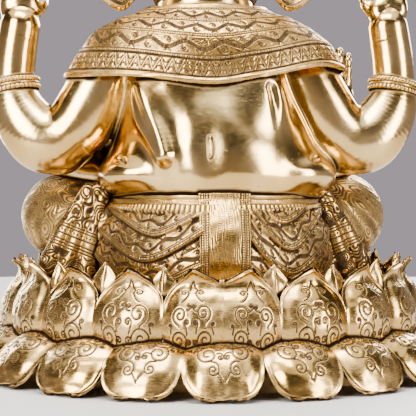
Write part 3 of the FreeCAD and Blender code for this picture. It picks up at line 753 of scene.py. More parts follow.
# All tables below are in the figure's own frame: x from its middle line, left side positive, y to the rear,
# z up.
# level ovals: z, x, y, radius across, radius front to back
TORSO = [
    (142, -11, 0, 66, 62),
    (146, -11, -2, 84, 82),
    (151, -11, -5, 92, 93),
    (160, -11, -9, 97, 100),
    (172, -11, -11, 97, 104),
    (190, -9, -11, 92, 102),
    (208, -7, -8, 86, 93),
    (222, -5, -5, 81, 84),
    (234, -3, -2, 77, 75),
    (247, -1, 1, 74, 66),
    (260, 0, 2, 71, 60),
    (282, 0, 2, 60, 50),
    (300, 0, 0, 44, 42),
    (318, 0, -3, 41, 41),
]
# limbs: x, y, z, radius
REAR_UPPER_ARM = [
    (66, 2, 276, 25),
    (84, 5, 256, 27.5),
    (98, 7, 230, 28.5),
    (112, 7, 208, 28.5),
    (128, 5, 196, 28),
]
REAR_FOREARM = [
    (126, 5, 195, 27.5),
    (141, 4, 198, 28.5),
    (153, 2, 209, 26.5),
    (163, 0, 226, 22.5),
    (166, -2, 244, 18.5),
    (165, -4, 268, 18),
    (161, -5, 296, 17.5),
]
REAR_BANGLE = 5
FRONT_UPPER_ARM = [(58, -22, 256, 24), (84, -34, 226, 24), (104, -44, 196, 23.5), (109, -47, 184, 23)]
FRONT_RIGHT_FOREARM = [
    (107, -45, 186, 23),
    (116, -60, 188, 21),
    (124.5, -75, 207, 17.5),
    (125, -79, 226, 14.5),
]
FRONT_LEFT_FOREARM = [
    (108, -48, 182, 23),
    (108, -80, 173, 21),
    (94, -107, 173, 18),
    (74, -122, 175, 14.5),
]
BOWL_FOOT = (48.0, -139.0, 179.0)
# across the palm, share of the longest finger's length, radius
FINGERS = [(12.4, 0.93, 5.0), (4.2, 1.0, 5.1), (-4.1, 0.96, 4.9), (-11.8, 0.8, 4.4)]


def mirror(stations, side):
    return [(side * x, *rest) for x, *rest in stations]


def unit(way):
    way = np.array(way, float)
    return way / np.linalg.norm(way)


def figure(name, clay, voxel, material, nodes, marks=None, depth=0.45, settle=2):
    """A sculpted piece. marks gives how deep each point lies in the cut lines."""
    points, quads, normals = clay.mesh(voxel, settle)
    groove = None
    if marks:
        groove = marks(points)
        points = points - normals * (depth * groove)[:, None]
    return piece(name, points + (FIGURE_X, 0, 0), quads, [], material, nodes, groove)


def torso_and_arms():
    clay = Sculpt()
    clay.step((-112, -122, 142), (112, 112, 318), ovals(TORSO), 0, 1)
    for side in (1, -1):
        clay.ball((side * 37 - 3, 52, 226), (25, 19, 34), 16)
        clay.ball((side * 66 - 9, 22, 168), (36, 50, 20), 14)
    for side in (1, -1):
        clay.tube(mirror(FRONT_UPPER_ARM, side), 7)
        clay.tube([(side * 70, -22, 166, 20), (side * 96, -34, 169, 21), (side * 112, -44, 173, 22)], 10)
        clay.ball((side * 34, -74, 232), (34, 16, 22), 14)
    clay.tube(mirror(FRONT_RIGHT_FOREARM, -1), 4)
    clay.tube(mirror(FRONT_LEFT_FOREARM, 1), 4)
    for side in (1, -1):
        clay.tube(mirror(REAR_UPPER_ARM, side), 6)
        clay.tube(mirror(REAR_FOREARM, side), 3)
    # belly, with its navel
    clay.ball((0, -58, 176), (72, 58, 46), 18)
    clay.ball((0, -117, 172), (5, 6, 4.5), 5, -1)
    # furrow of the spine and the short sharp dent in it
    clay.tube([(3, 91, 243, 18), (3, 103, 212, 18), (3, 109, 190, 19), (3, 111, 174, 17)], 9, sign=-1)
    dent = [(3.4, 89, 204, 0.8), (3, 92, 194, 1.8), (3.6, 93.6, 182, 1.9), (3, 95, 174, 0.6)]
    clay.tube(dent, 2.5, sign=-1)
    clay.tube([(-0.5, 88.6, 199, 0.8), (-0.8, 90.5, 190, 1.4), (-0.6, 92, 181, 0.8)], 2.5)
    # the folds of the flanks, behind the arms
    clay.tube([(56, 56, 236, 7), (51, 65, 218, 7), (44, 75, 201, 7), (38, 85, 184, 5)], 16)
    clay.tube([(65, 58, 238, 2.5), (60, 69, 220, 3.5), (52, 81, 202, 3), (44, 92, 186, 1)], 9, sign=-1)
    clay.tube([(-53, 66, 240, 3), (-57, 70, 224, 3.5), (-59, 75, 208, 2)], 5, sign=-1)
    for side in (1, -1):
        for i, (x, z) in enumerate([(80, 178), (74, 171), (67, 166)]):
            start = (side * (x + 8) - 8, 46 - 5 * i, z + 8, 1.6)
            end = (side * (x - 10) - 8, 66 - 3 * i, z - 7 + 2 * i, 0.8)
            clay.tube([start, tuple((np.array(start) + end) / 2 + (0, 2, -1, 0.8)), end], 4, sign=-1)
    nodes = ["torso", "neck"]
    for place in ("rear", "front"):
        for side_name in SIDES:
            nodes += [f"{place}_{side_name}_upper_arm", f"{place}_{side_name}_forearm"]
    figure("torso_and_arms", clay, 1.25, POLISHED, nodes)
    return clay


def hand(clay, wrist, up, across, length, reach, bends, thumb, spread=0.0):
    """A hand with its palm along up and its thumb towards across; the palm faces up x across.

    bends are the turns of each finger's three bones in degrees, towards the palm's face.
    """
    up = unit(up)
    across = unit(np.array(across, float) - up * np.dot(up, across))
    face = np.cross(up, across)
    axes = np.array([across, face, up])
    wrist = np.array(wrist, float)

    def spot(a, f, u):
        return wrist + across * a + face * f + up * u

    for (offset, share, thick), turns in zip(FINGERS, bends):
        lean = spread * offset / 12
        point = spot(offset * 0.92, 0, length * 0.84)
        stations = [(*point, thick * 1.02)]
        point = point + up * length * 0.2
        stations.append((*point, thick * 1.06))
        for bone, turn, girth in zip((0.45, 0.31, 0.24), np.radians(np.cumsum(turns)), (0.97, 0.9, 0.74)):
            way = unit(up * math.cos(turn) + face * math.sin(turn) + across * lean * math.cos(turn))
            halfway = point + way * bone * reach * share * 0.5
            point = point + way * bone * reach * share
            stations.append((*halfway, thick * girth * 0.96))
            stations.append((*point, thick * girth))
        clay.tube(stations, 0.7, per=3)
        back = face * math.cos(turn) - up * math.sin(turn)
        nail = point - way * 0.8 - back * thick * 0.62
        clay.ball(nail, (thick * 0.5, 1.0, thick * 0.72), 0.5, turn=np.array([across, back, way]))
    first, second = (unit(across * a + face * f + up * u) for a, f, u in thumb)
    root = spot(9.5, 1, length * 0.2)
    joint = spot(12.5, 2, length * 0.36) + first * length * 0.25
    tip = joint + first * length * 0.22 + second * length * 0.26
    clay.tube([(*root, 7), (*joint, 5.8), (*((joint + tip) / 2), 5.2), (*tip, 4.2)], 1.5, per=4)
    clay.ball(spot(0, 0, length * 0.5), (16.5, 8.5, length * 0.62), 3.5, turn=axes)
    clay.ball(spot(8, 4.5, length * 0.36), (8, 6, length * 0.3), 3.5, turn=axes)
    clay.ball(spot(-9, 3.5, length * 0.4), (7, 6, length * 0.34), 3.5, turn=axes)
    clay.ball(spot(0, 0, 0), (14.5, 13, 13), 5, turn=axes)


def hands():
    fist = [(38, 62, 58), (42, 66, 58), (46, 68, 58), (50, 70, 58)]
    for side_name, side in SIDES.items():
        clay = Sculpt()
        x, y, z, _ = REAR_FOREARM[-1]
        # each rear palm faces forward, so the frame is mirrored from side to side
        bends = fist if side > 0 else [tuple(-turn for turn in turns) for turns in fist]
        lift = 1 if side > 0 else -1
        thumb = [(0.75, lift * 0.55, 0.6), (-0.2, lift * 0.75, 0.65)]
        hand(clay, (side * x, y, z + 3), (side * 0.04, -0.1, 1), (-side, 0, 0), 32, 33, bends, thumb)
        clay.tube([(side * (x + 1), y + 1, z - 10, 17.0), (side * x, y, z, 15.5)], 4)
        figure(f"rear_{side_name}_hand_cast", clay, 0.8, POLISHED, [f"rear_{side_name}_hand"])
    clay = Sculpt()
    x, y, z, _ = FRONT_RIGHT_FOREARM[-1]
    flat = [(-4, -3, -2), (-5, -3, -2), (-4, -2, -2), (-2, -2, -2)]
    thumb = [(0.8, -0.45, 0.75), (0.1, -0.3, 1)]
    hand(clay, (-x, y, z + 1), (0, -0.06, 1), (1, 0.1, 0), 27, 29, flat, thumb, 0.05)
    clay.tube([(-x, y, z - 12, 14.2), (-x, y, z - 1, 13.2)], 4)
    figure("front_right_hand_cast", clay, 0.7, POLISHED, ["front_right_hand"])
    clay = Sculpt()
    x, y, z, _ = FRONT_LEFT_FOREARM[-1]
    cup = [(14, 30, 26), (12, 30, 26), (12, 32, 26), (14, 34, 26)]
    thumb = [(0.85, 0.3, 0.4), (0.2, 0.95, 0.3)]
    hand(clay, (x, y, z - 1), (-0.85, -0.5, 0.0), (-0.5, 0.85, 0), 30, 29, cup, thumb)
    clay.ball(np.array(BOWL_FOOT) + (0, 0, 16), (25.2, 25.2, 17), 1.0, -1)
    figure("front_left_hand_cast", clay, 0.7, POLISHED, ["front_left_hand"])


def bracelet(centre, way, radius, wire, kind, count):
    """A closed wire round a limb: twisted strands for "rope", round ones for "beads", smooth for "plain"."""
    way = unit(way)
    first = unit(np.cross(way, (0.3, 0.2, 1.0) if abs(way[2]) < 0.8 else (1.0, 0.2, 0.0)))
    second = np.cross(way, first)
    turn = np.linspace(0, 2 * math.pi, 12 * count if kind == "beads" else 760, endpoint=False)
    path = centre + radius * (np.cos(turn)[:, None] * first + np.sin(turn)[:, None] * second)
    around = 16
    points, quads = ring_of(path, wire, around)
    i = np.repeat(turn, around)
    j = np.tile(np.linspace(0, 2 * math.pi, around, endpoint=False), len(turn))
    twist = {"rope": (count * i + 2 * j) / 2, "beads": count * i / 2, "plain": i * 0}[kind]
    wave = np.abs(np.cos(twist))
    middle_line = np.repeat(path, around, 0)
    points = middle_line + (points - middle_line) * (0.72 + 0.3 * np.sqrt(wave))[:, None]
    return points + (FIGURE_X, 0, 0), quads, np.clip(1 - 2.6 * wave, 0, 1), []


def bangle_set(stations, side, offsets, wire=2.5):
    """A rope ring, a plain one and a beaded one round a wrist or an ankle."""
    stations = np.array(mirror(stations, side), float)
    way = unit(stations[-1, :3] - stations[-2, :3])
    radius = stations[-1, 3] + wire * 0.9
    upper, lower = offsets
    centre = stations[-1, :3]
    return [
        bracelet(centre + way * upper, way, radius, wire, "rope", 40),
        bracelet(centre + way * (upper + lower) / 2, way, radius, wire * 0.55, "plain", 1),
        bracelet(centre + way * lower, way, radius, wire * 0.9, "beads", 34),
    ]


def bangles():
    """The rings on the four wrists."""
    sets = [
        ("rear_left", REAR_FOREARM[:REAR_BANGLE], 1),
        ("rear_right", REAR_FOREARM[:REAR_BANGLE], -1),
        ("front_left", FRONT_LEFT_FOREARM, 1),
        ("front_right", FRONT_RIGHT_FOREARM, -1),
    ]
    for name, stations, side in sets:
        shift = (3.2, -3.2) if name.startswith("rear") else (2.5, -3.5)
        cast(f"{name}_bangles_cast", joined(bangle_set(stations, side, shift)), ORNAMENT, [f"{name}_bangles"])


# ---------------------------------------------------------------- shawl

# level ovals: z, x, y, radius across, radius front to back
SHAWL = [
    (232, -3, 4, 118, 68),
    (247, -3, 4, 119, 69),
    (264, -3, 4, 116, 68),
    (280, -2, 4, 107, 65),
    (292, 0, 3, 95, 59),
    (302, 0, 0, 77, 52),
    (309, 0, -2, 57, 47),
    (312, 0, -2, 47, 42),
]
# height of the hem against x, behind and in front
REAR_HEM = [(-124, 257), (-98, 259), (-60, 251), (-37, 247), (-2, 242), (54, 248), (90, 250), (118, 250)]
FRONT_HEM = [(-124, 257), (-104, 251), (-70, 246), (-34, 250), (0, 256), (34, 250), (70, 246), (118, 250)]
SHAWL_SPAN = 71.0


def wave_tile(pitch, low, high):
    """One length of wave scroll: three lines that rise and fall, with a hooked curl in each hollow."""
    middle_v, tall = (low + high) / 2, (high - low) / 2
    u = np.linspace(-pitch / 2, pitch / 2, 33)
    wave = tall * 0.42 * np.sin(2 * math.pi * u / pitch)
    curves = [np.stack([u, middle_v + wave + shift * tall], 1) for shift in (-0.2, 0.0, 0.2)]
    curl = tall * 0.36
    for hand in (1, -1):
        centre = (hand * -pitch * 0.25 + hand * pitch * 0.03, middle_v + hand * tall * 0.42)
        curves.append(spiral(centre, curl, -70 if hand > 0 else 110, 1.15, 1, None))
        curves.append(spiral(centre, curl * 1.75, 160 if hand > 0 else -20, 0.42, -1, None))
        edge, dip = middle_v + hand * tall * 0.93, hand * tall * 0.3
        arc = [(0.12, edge), (0.22, edge - dip), (0.3, edge)]
        curves.append(catmull([(hand * pitch * across, v) for across, v in arc], 6))
    return curves


def repeated(u, v, tile, pitch, width):
    """The cut lines of a tile that repeats along u."""
    local = (u / pitch) % 1.0 * pitch - pitch / 2
    both = tile + [c + (pitch, 0) for c in tile] + [c - (pitch, 0) for c in tile]
    return cut_lines(local, v, both, width)


def ticks(u, v, low, high, pitch):
    """A row of short cuts across a narrow border, between two lines."""
    inside = (v > low) & (v < high)
    cuts = np.clip(1.6 * np.cos(2 * math.pi * u / pitch), 0, 1) * inside
    lines = np.maximum(soft_line(v - low, 1.3), soft_line(v - high, 1.3))
    return np.maximum(cuts * 0.85, lines)


def zigzag(u, v, low, high, pitch):
    """A band of double-line triangles with a small arc in each."""
    share = (u / pitch) % 1.0
    tall = high - low
    line = low + tall * np.abs(2 * share - 1)
    lean = pitch / math.hypot(pitch, 2 * tall)
    gap = np.abs((v - line) * lean)
    cuts = soft_line(gap - 0.85, 1.25)
    for middle_u, foot, hand in ((0.0, low, 1), (0.5, high, -1)):
        du = ((share - middle_u + 0.5) % 1.0 - 0.5) * pitch
        dv = (v - foot) * hand
        arc = soft_line(np.hypot(du, dv - 1.5) - 2.3, 1.2) * (dv > 1.0)
        cuts = np.maximum(cuts, arc)
    inside = (v > low - 0.4) & (v < high + 0.4)
    edges = np.maximum(soft_line(v - low + 0.6, 1.3), soft_line(v - high - 0.6, 1.3))
    return np.maximum(cuts * inside, edges)


def loop_quads(rows, columns):
    """Quads over a grid of points that joins up both ways."""
    r, c = np.arange(rows)[:, None], np.arange(columns)[None, :]
    here, up, after = r * columns, (r + 1) % rows * columns, (c + 1) % columns
    return np.stack([here + c, here + after, up + after, up + c], -1).reshape(-1, 4)


def closed_band(outer, thickness, groove, inner_rows=5):
    """A closed shell from rings of outer points, with a plainer inner side thickness under it."""
    rows, columns = outer.shape[:2]
    inner = outer - sheet_normals(outer, True) * thickness
    keep = np.linspace(rows - 1, 0, inner_rows).round().astype(int)
    points = np.concatenate([outer, inner[keep]])
    carved = np.concatenate([groove, np.zeros((inner_rows, columns))])
    quads = loop_quads(rows + inner_rows, columns)
    return points.reshape(-1, 3) + (FIGURE_X, 0, 0), quads, carved.ravel(), []


def hem_height(x, y, rear, front):
    """The height of a hem that differs behind and in front, met smoothly at the sides."""
    behind = smooth_at(x, rear)[0]
    before = smooth_at(x, front)[0]
    share = np.clip(0.5 + y / 40, 0, 1)
    return before + (behind - before) * share


def shawl(clay):
    """The cloth over both shoulders. clay is the body that it lies on."""
    columns, rows = 860, 118
    turn = np.linspace(0, 2 * math.pi, columns, endpoint=False)
    x0, y0, rx, ry = smooth_at(np.full(columns, 250.0), SHAWL)
    hem = hem_height(x0 + rx * np.cos(turn), y0 + ry * np.sin(turn), REAR_HEM, FRONT_HEM)
    fine = np.linspace(0, 1, 60)[:, None]
    z = hem + fine * (311 - hem)
    x0, y0, rx, ry = (value.reshape(z.shape) for value in smooth_at(z.ravel(), SHAWL))
    form = np.stack([x0 + rx * np.cos(turn), y0 + ry * np.sin(turn), z], -1)
    steps = np.linalg.norm(np.diff(form, axis=0), axis=-1)
    reach = np.concatenate([np.zeros((1, columns)), np.cumsum(steps, 0)])
    share = np.linspace(0, 1, rows)
    surface = np.empty((rows, columns, 3))
    for c in range(columns):
        for k in range(3):
            surface[:, c, k] = np.interp(share * reach[-1, c], reach[:, c], form[:, c, k])
    for _ in range(3):
        gap = clay.at(surface.reshape(-1, 3)).reshape(rows, columns)
        push = np.maximum(3.4 - gap, 0)
        for _ in range(8):
            push = 0.5 * push + 0.125 * (np.roll(push, 1, 1) + np.roll(push, -1, 1))
            push += 0.125 * (np.concatenate([push[:1], push[:-1]]) + np.concatenate([push[1:], push[-1:]]))
        surface = surface + sheet_normals(surface, True) * push[..., None]
    v = share[:, None] * SHAWL_SPAN * np.ones(columns)
    lengths = np.linalg.norm(np.roll(surface, -1, 1) - surface, axis=-1)
    around = np.cumsum(lengths, 1) / lengths.sum(1, keepdims=True)

    def run(height, pitch):
        """Distance along the band at a height, with the pitch trimmed to go round in whole steps."""
        whole = lengths[int(height / SHAWL_SPAN * (rows - 1))].sum()
        step = whole / round(whole / pitch)
        return around * whole, step

    groove = np.zeros_like(v)
    raised = 1.5 * np.exp(-(((v - 2.2) / 1.7) ** 2)) + 1.3 * np.exp(-(((v - 69.2) / 1.6) ** 2))
    u, pitch = run(2, 2.4)
    groove = np.maximum(groove, soft_line(((u + 0.9 * v) / pitch % 1 - 0.5) * pitch, 0.7) * (v < 3.8) * 0.6)
    u, pitch = run(11, 10.5)
    groove = np.maximum(groove, zigzag(u, v, 6.2, 16.6, pitch))
    for low, high, middle_v in ((17.9, 20.4, 19), (35.2, 37.4, 36), (50.2, 52.2, 51), (64.2, 66.2, 65)):
        u, pitch = run(middle_v, 2.1)
        groove = np.maximum(groove, ticks(u, v, low, high, pitch))
        raised = raised + 0.55 * np.exp(-(((v - (low + high) / 2) / 1.4) ** 2))
    for low, high, pitch in ((21.5, 34.2, 31.0), (38.4, 49.2, 27.0), (53.2, 63.2, 25.0)):
        u, pitch = run((low + high) / 2, pitch)
        u = u + 9 * low
        groove = np.maximum(groove, repeated(u, v, wave_tile(pitch, low, high), pitch, 1.45))
        swirl = contour_lines(surface, 13.0, 2.6, 1.0, int(low)) * 0.45 * ((v > low) & (v < high))
        groove = np.maximum(groove, swirl)
    groove = np.maximum(groove, soft_line(v - 4.7, 1.2))
    lumps, _ = swirl_noise(surface, 30.0, 61)
    rise = raised - 0.55 * groove + 0.35 * lumps
    surface = surface + sheet_normals(surface, True) * rise[..., None]
    cast("shawl_cloth", closed_band(surface, 4.0, groove), ENGRAVED, ["shawl"])


# ---------------------------------------------------------------- the cloth round the hips

HIPS = [
    (73, -6, 12, 92, 90),
    (92, -6, 13, 99, 99),
    (116, -7, 13, 97.5, 98.5),
    (134, -8, 10, 91, 92),
    (150, -9, 6, 84, 84),
]
# each fold of the cloth behind, from the upper one down, as (x, z) along its lower edge
LEFT_FOLDS = [
    [(92, 150), (75, 133), (44, 118), (8, 133)],
    [(96, 128), (81, 113), (50, 98), (5, 120)],
    [(98, 104), (80, 90), (48, 78), (3, 96)],
]
RIGHT_FOLDS = [
    [(-34, 141), (-48, 131), (-63, 128), (-80, 139), (-90, 152)],
    [(-32, 135), (-47, 118), (-67, 107), (-91, 130), (-98, 146)],
    [(-31, 116), (-50, 95), (-70, 88), (-96, 108), (-104, 128)],
    [(-31, 92), (-52, 76), (-72, 72), (-98, 86), (-106, 100)],
]
SASH_LOW_X, SASH_HIGH_X = -33.0, 10.0


def fold_height(x, points):
    """Height of a fold's lower edge at each x, and 1 where it runs, fading to 0 past its ends."""
    points = sorted(points)
    z = smooth_at(x, points)[0]
    ends = np.clip((x - points[0][0] + 4) / 4, 0, 1) * np.clip((points[-1][0] + 4 - x) / 4, 0, 1)
    return z, ends


def hip_cloth():
    columns, rows = 800, 116
    turn = np.linspace(0, 2 * math.pi, columns, endpoint=False)
    z = np.linspace(74, 148.5, rows)[:, None] * np.ones(columns)
    x0, y0, rx, ry = (value.reshape(z.shape) for value in smooth_at(z.ravel(), HIPS))
    surface = np.stack([x0 + rx * np.cos(turn), y0 + ry * np.sin(turn), z], -1)
    x, y = surface[..., 0], surface[..., 1]
    behind = np.clip(y / 25, 0, 1)
    lengths = np.linalg.norm(np.roll(surface, -1, 1) - surface, axis=-1)
    u = np.cumsum(lengths[rows // 2])[None, :] * np.ones_like(z)
    rise = np.zeros_like(z)
    groove = contour_lines(surface, 17.0, 3.0, 1.5, 77)
    for folds in (LEFT_FOLDS, RIGHT_FOLDS):
        for order, points in enumerate(folds):
            edge, ends = fold_height(x, points)
            above = z - edge
            lip = np.where(above > 0, 4.6 * np.exp(-above / 12), 4.6 * np.exp(above / 0.8)) * ends * behind
            rise = np.maximum(rise, lip)
            slope = np.gradient(edge, axis=1) / np.maximum(lengths, 1e-6)
            near = above / np.sqrt(1 + slope**2)
            mask = ends * behind * (near > -0.6)
            fresh = ticks(u * np.sqrt(1 + slope**2), near, 0.9, 2.9, 2.0)
            fresh = np.maximum(fresh, soft_line(near - 4.3, 1.4))
            wave = repeated(u + 9 * order, near, wave_tile(25, 4.6, 14.5), 25, 1.5)
            fresh = np.maximum(fresh, wave * (near < 14.6) * (near > 4.8))
            take = np.clip(mask, 0, 1) * (near < 14.6)
            groove = groove * (1 - take) + fresh * take
            # painted shadow: a dark band just below each fold's lower edge, where the fold above casts its
            # shadow; it also dents the cloth a little
            fold_shadow = np.exp(-(((near + 1.5) / 1.4) ** 2)) * ends * behind
            groove = np.maximum(groove, fold_shadow)
    # the small round tongues that hang under the waistband, longer on the left
    foot = np.where(x > -10, 133.8, 136.5) + 1.5 * ((x + 20) / 60) ** 2
    tongue_u = np.abs(((u / 4.6) % 1.0) - 0.5) * 2
    lower_edge = foot + 2.2 * (tongue_u**2)
    on_tongue = (z > lower_edge) & (z < 142) & (y > 10)
    rise = np.where(on_tongue, 3.4 + 0.7 * (1 - tongue_u**2), rise)
    groove = np.where(on_tongue, np.clip((tongue_u - 0.72) * 4, 0, 1), groove)
    for line in (141.6, 143.4, 146.6):
        groove = np.maximum(groove * (z < 142), soft_line(z - line, 1.0) * (z > 140.8))
    rope = soft_line(((u + 1.2 * z) / 2.2 % 1 - 0.5) * 2.2, 0.8) * (np.abs(z - 145) < 1.5)
    groove = np.maximum(groove, rope)
    rise = np.where(z > 142, 3.0 + 0.8 * np.cos((z - 145) * 1.6), rise)
    lumps, _ = swirl_noise(surface, 24.0, 62)
    surface = surface + sheet_normals(surface, True) * (rise + 0.3 * lumps - 0.5 * groove)[..., None]
    nodes = ["hips", "waistband", "dhoti_drape_left", "dhoti_drape_right"]
    cast("hip_cloth", closed_band(surface, 3.5, groove), ENGRAVED, nodes)


def sash():
    """The flat end of the waist cloth that hangs down the middle of the back."""
    columns, rows = 78, 122
    share = np.linspace(-1, 1, columns)[None, :]
    down = np.linspace(0, 1, rows)[:, None]
    z = 152.5 - 76.5 * down - 2.5 * down * share**2 + 0 * share
    half = 21.3 - 1.6 * down + 0 * share
    middle_x = -12.0 + 0.8 * down
    x = middle_x + share * half
    x0, y0, rx, ry = (value.reshape(z.shape) for value in smooth_at(z.ravel(), HIPS))
    y = y0 + ry * np.sqrt(np.clip(1 - ((x - x0) / rx) ** 2, 0, 1))
    crown = 4.6 - 1.6 * np.abs(share) ** 3 + 1.4 * np.exp(-((down / 0.05) ** 2)) + 0.6 * np.sin(down * 3.1)
    surface = np.stack([x, y + crown, z], -1)
    across, v = x - middle_x, (1 - down) * 76 + 0 * share
    wander = 0.5 * np.sin(v / 7.0) + 0.35 * np.sin(v / 3.1 + across)
    fine = soft_line(((across + wander) / 1.75 % 1 - 0.5) * 1.75, 0.9)
    faint = 0.5 + 0.5 * np.clip(swirl_noise(surface, 16.0, 63)[0], -1, 1)
    inner = np.abs(across) < 12.6
    stitches = soft_line((v / 1.9 % 1 - 0.5) * 1.9, 0.8)
    column = np.abs(np.abs(across) - 4.6) < 0.8
    groove = np.where(inner, fine * (0.35 + 0.5 * faint), 0)
    groove = np.where(column, stitches * 0.7, groove)
    for low, high in ((13.2, 15.6), (17.0, 19.2)):
        gap = np.abs(across)
        groove = np.maximum(groove, ticks(v, gap, low, high, 1.9))
    surface[..., 1] += 0.2 * swirl_noise(surface, 13.0, 64)[0] - 0.42 * groove
    points, *rest = closed_sheet(surface[::-1, ::-1], 4.0, groove[::-1, ::-1])
    cast("rear_sash_cloth", (points + (FIGURE_X, 0, 0), *rest), ENGRAVED, ["rear_sash"])


# ---------------------------------------------------------------- legs and the cloth on them

THIGH = [
    (34, 14, 112, 38),
    (70, -8, 115, 41),
    (100, -25, 122, 41),
    (120, -36, 127, 38.5),
    (132, -42, 130, 31),
    (140, -46, 131, 21),
]
LEFT_SHIN = [
    (126, -74, 105, 22),
    (96, -98, 97, 23),
    (60, -117, 93, 21),
    (24, -127, 91, 17),
    (8, -129, 90, 15),
]
RIGHT_SHIN = [
    (126, -74, 107, 22),
    (92, -92, 112, 24),
    (56, -104, 118, 22),
    (18, -110, 122, 18),
    (0, -111, 122, 15),
]
LEFT_FOOT = [(8, -129, 90, 14.5), (-8, -130, 88.5, 14), (-28, -129, 86.5, 13.5), (-44, -126, 85.5, 12)]
RIGHT_FOOT = [(0, -111, 122, 14.5), (16, -112, 121, 14), (36, -112, 119.5, 13.5), (50, -110, 118.5, 12)]
PLEAT_TOPS = [(87, 14, 151, 6.5), (94, 13, 153, 6.5), (101, 9, 154, 6.5)]
PLEAT_FEET = [(103, 19, 83, 11.5), (119, 14, 86, 11.5), (134, 4, 91, 11)]


def share_along(points, start, end):
    """How far points lie along the way from start to end, in millimetres."""
    start, end = np.array(start[:3], float), np.array(end[:3], float)
    return (points - start) @ unit(end - start)


def pleat_marks(side):
    start = mirror([PLEAT_TOPS[1]], side)[0]
    end = mirror([PLEAT_FEET[1]], side)[0]

    def marks(points):
        down = share_along(points, start, end)
        swirls = contour_lines(points, 17.0, 3.6, 1.9, 90 + side)
        bands = np.zeros(len(points))
        for line in (35.0, 37.4, 43.6, 49.0, 51.6, 54.2):
            bands = np.maximum(bands, soft_line(down - line, 1.6))
        across = points[:, 0]
        dots = soft_line(np.hypot((across / 3.6 % 1 - 0.5) * 3.6, down - 40.4), 2.3)
        inside = (down > 33.5) & (down < 56)
        return np.where(inside, np.maximum(bands, dots), swirls)

    return marks


def thigh_marks(side):
    def marks(points):
        swirls = contour_lines(points, 26.0, 3.4, 1.9, 80 + side)
        inward = np.clip((128 - side * points[:, 0]) / 34, 0, 1)
        upper = np.clip((points[:, 2] - 118) / 25, 0, 1)
        return swirls * (0.72 + 0.28 * inward * upper)

    return marks


def shin_marks(seed):
    def marks(points):
        return contour_lines(points, 22.0, 3.4, 1.5, seed) * 0.8

    return marks


def toes(clay, start, way, width, sizes):
    """Five toes in a row across the end of a foot, the great toe first."""
    start, way, width = np.array(start, float), unit(way), np.array(width, float)
    for i, size in enumerate(sizes):
        root = start + width * (i / 4 - 0.5) - way * (4 + 0.9 * i)
        tip = root + way * (size * 3.1)
        clay.tube([(*root, size), (*((root + tip) / 2), size * 0.93), (*tip, size * 0.88)], 0.9, per=2)
        back = np.array([0, 0, 1.0])
        clay.ball(tip + back * size * 0.72 + way * size * 0.2, (size * 0.5, size * 0.55, 0.8), 0.4)


def legs():
    for side_name, side in SIDES.items():
        clay = Sculpt()
        clay.tube(mirror(THIGH, side), 0)
        clay.ball((side * 130, -42, 131), (30.5, 33, 36), 7)
        marks = thigh_marks(side)
        figure(f"{side_name}_thigh_cloth", clay, 1.0, ENGRAVED, [f"{side_name}_thigh"], marks, 0.4)
        clay = Sculpt()
        for top, foot in zip(mirror(PLEAT_TOPS, side), mirror(PLEAT_FEET, side)):
            mid = tuple((np.array(top) + foot) / 2 + (side * 1.5, 2.5, 0, -0.4))
            clay.tube([top, mid, foot], 1.6, per=6)
        for x, y, z in ((93, 17, 152), (86, 20, 158)):
            clay.ball((side * x, y, z), 4.2, 1.0)
        clay.tube([(side * 70, 10, 158, 7), (side * 86, 13, 156, 6.5), (side * 98, 6, 154, 7)], 3)
        marks = pleat_marks(side)
        figure(f"{side_name}_knee_cloth", clay, 0.7, ENGRAVED, [f"{side_name}_knee_drape"], marks, 0.55)
    for side_name, stations, side, seed in (("left", LEFT_SHIN, 1, 95), ("right", RIGHT_SHIN, -1, 96)):
        clay = Sculpt()
        clay.tube(mirror(stations, side), 0)
        figure(f"{side_name}_shin_cloth", clay, 1.0, ENGRAVED, [f"{side_name}_shin"], shin_marks(seed), 0.4)
    feet = (("left", LEFT_FOOT, (-1, 0.16, -0.05), -24), ("right", RIGHT_FOOT, (1, 0.1, -0.1), -25))
    for side_name, stations, way, width in feet:
        clay = Sculpt()
        end = np.array(stations[-1][:3], float)
        sizes = [4.6, 3.9, 3.7, 3.5, 3.2]
        toes(clay, end + unit(way) * 11 + (0, 0, -2.5), way, (0, width, 0), sizes)
        for a, b in zip(stations[:-1], stations[1:]):
            centre = (np.array(a[:3]) + np.array(b[:3])) / 2
            clay.ball(centre, (17, 15.5, 11.5), 4)
        clay.ball(end + unit(way) * 2, (14, 15.5, 8.5), 4)
        clay.ball(np.array(stations[0][:3]) - np.array(way) * 2, (15, 14.5, 14), 5)
        figure(f"{side_name}_foot_cast", clay, 0.8, POLISHED, [f"{side_name}_foot"])
    rings = []
    for stations, side in ((LEFT_SHIN, 1), (RIGHT_SHIN, -1)):
        above, below = np.array(stations[-2][:3]), np.array(stations[-1][:3])
        ankle = (*(above * 0.6 + below * 0.4), 16.2)
        rings += bangle_set([*stations[:-2], ankle], side, (2.5, -3.0), 2.2)
    cast("anklets_cast", joined(rings), ORNAMENT, ["anklets"])


# ---------------------------------------------------------------- head

TRUNK = [
    (0, -46, 350, 29),
    (0, -60, 340, 27),
    (0, -76, 330, 24),
    (-1, -95, 306, 20),
    (-1, -106, 278, 17),
    (4, -115, 250, 14.5),
    (20, -124, 227, 12.5),
    (40, -132, 217, 11),
    (54, -134, 222, 9.8),
]
HEAD_CENTRE = (0, -12, 352)
UPPER_LID = [
    (20.5, -57.6, 346.2, 0.9),
    (27, -58.8, 352.4, 1.25),
    (34.5, -52.4, 350.6, 1.2),
    (38.5, -48, 346.6, 0.7),
]
LOWER_LID = [
    (20.5, -57.6, 346.2, 0.8),
    (27, -57.9, 343.6, 0.95),
    (34, -52.4, 343.8, 0.9),
    (38.5, -48, 346.6, 0.7),
]
EAR_OUTLINE = [
    (44, 380),
    (66, 395),
    (90, 391),
    (105, 374),
    (107, 350),
    (98, 328),
    (85, 314),
    (72, 308.5),
    (62, 317),
    (50, 332),
    (43, 352),
]


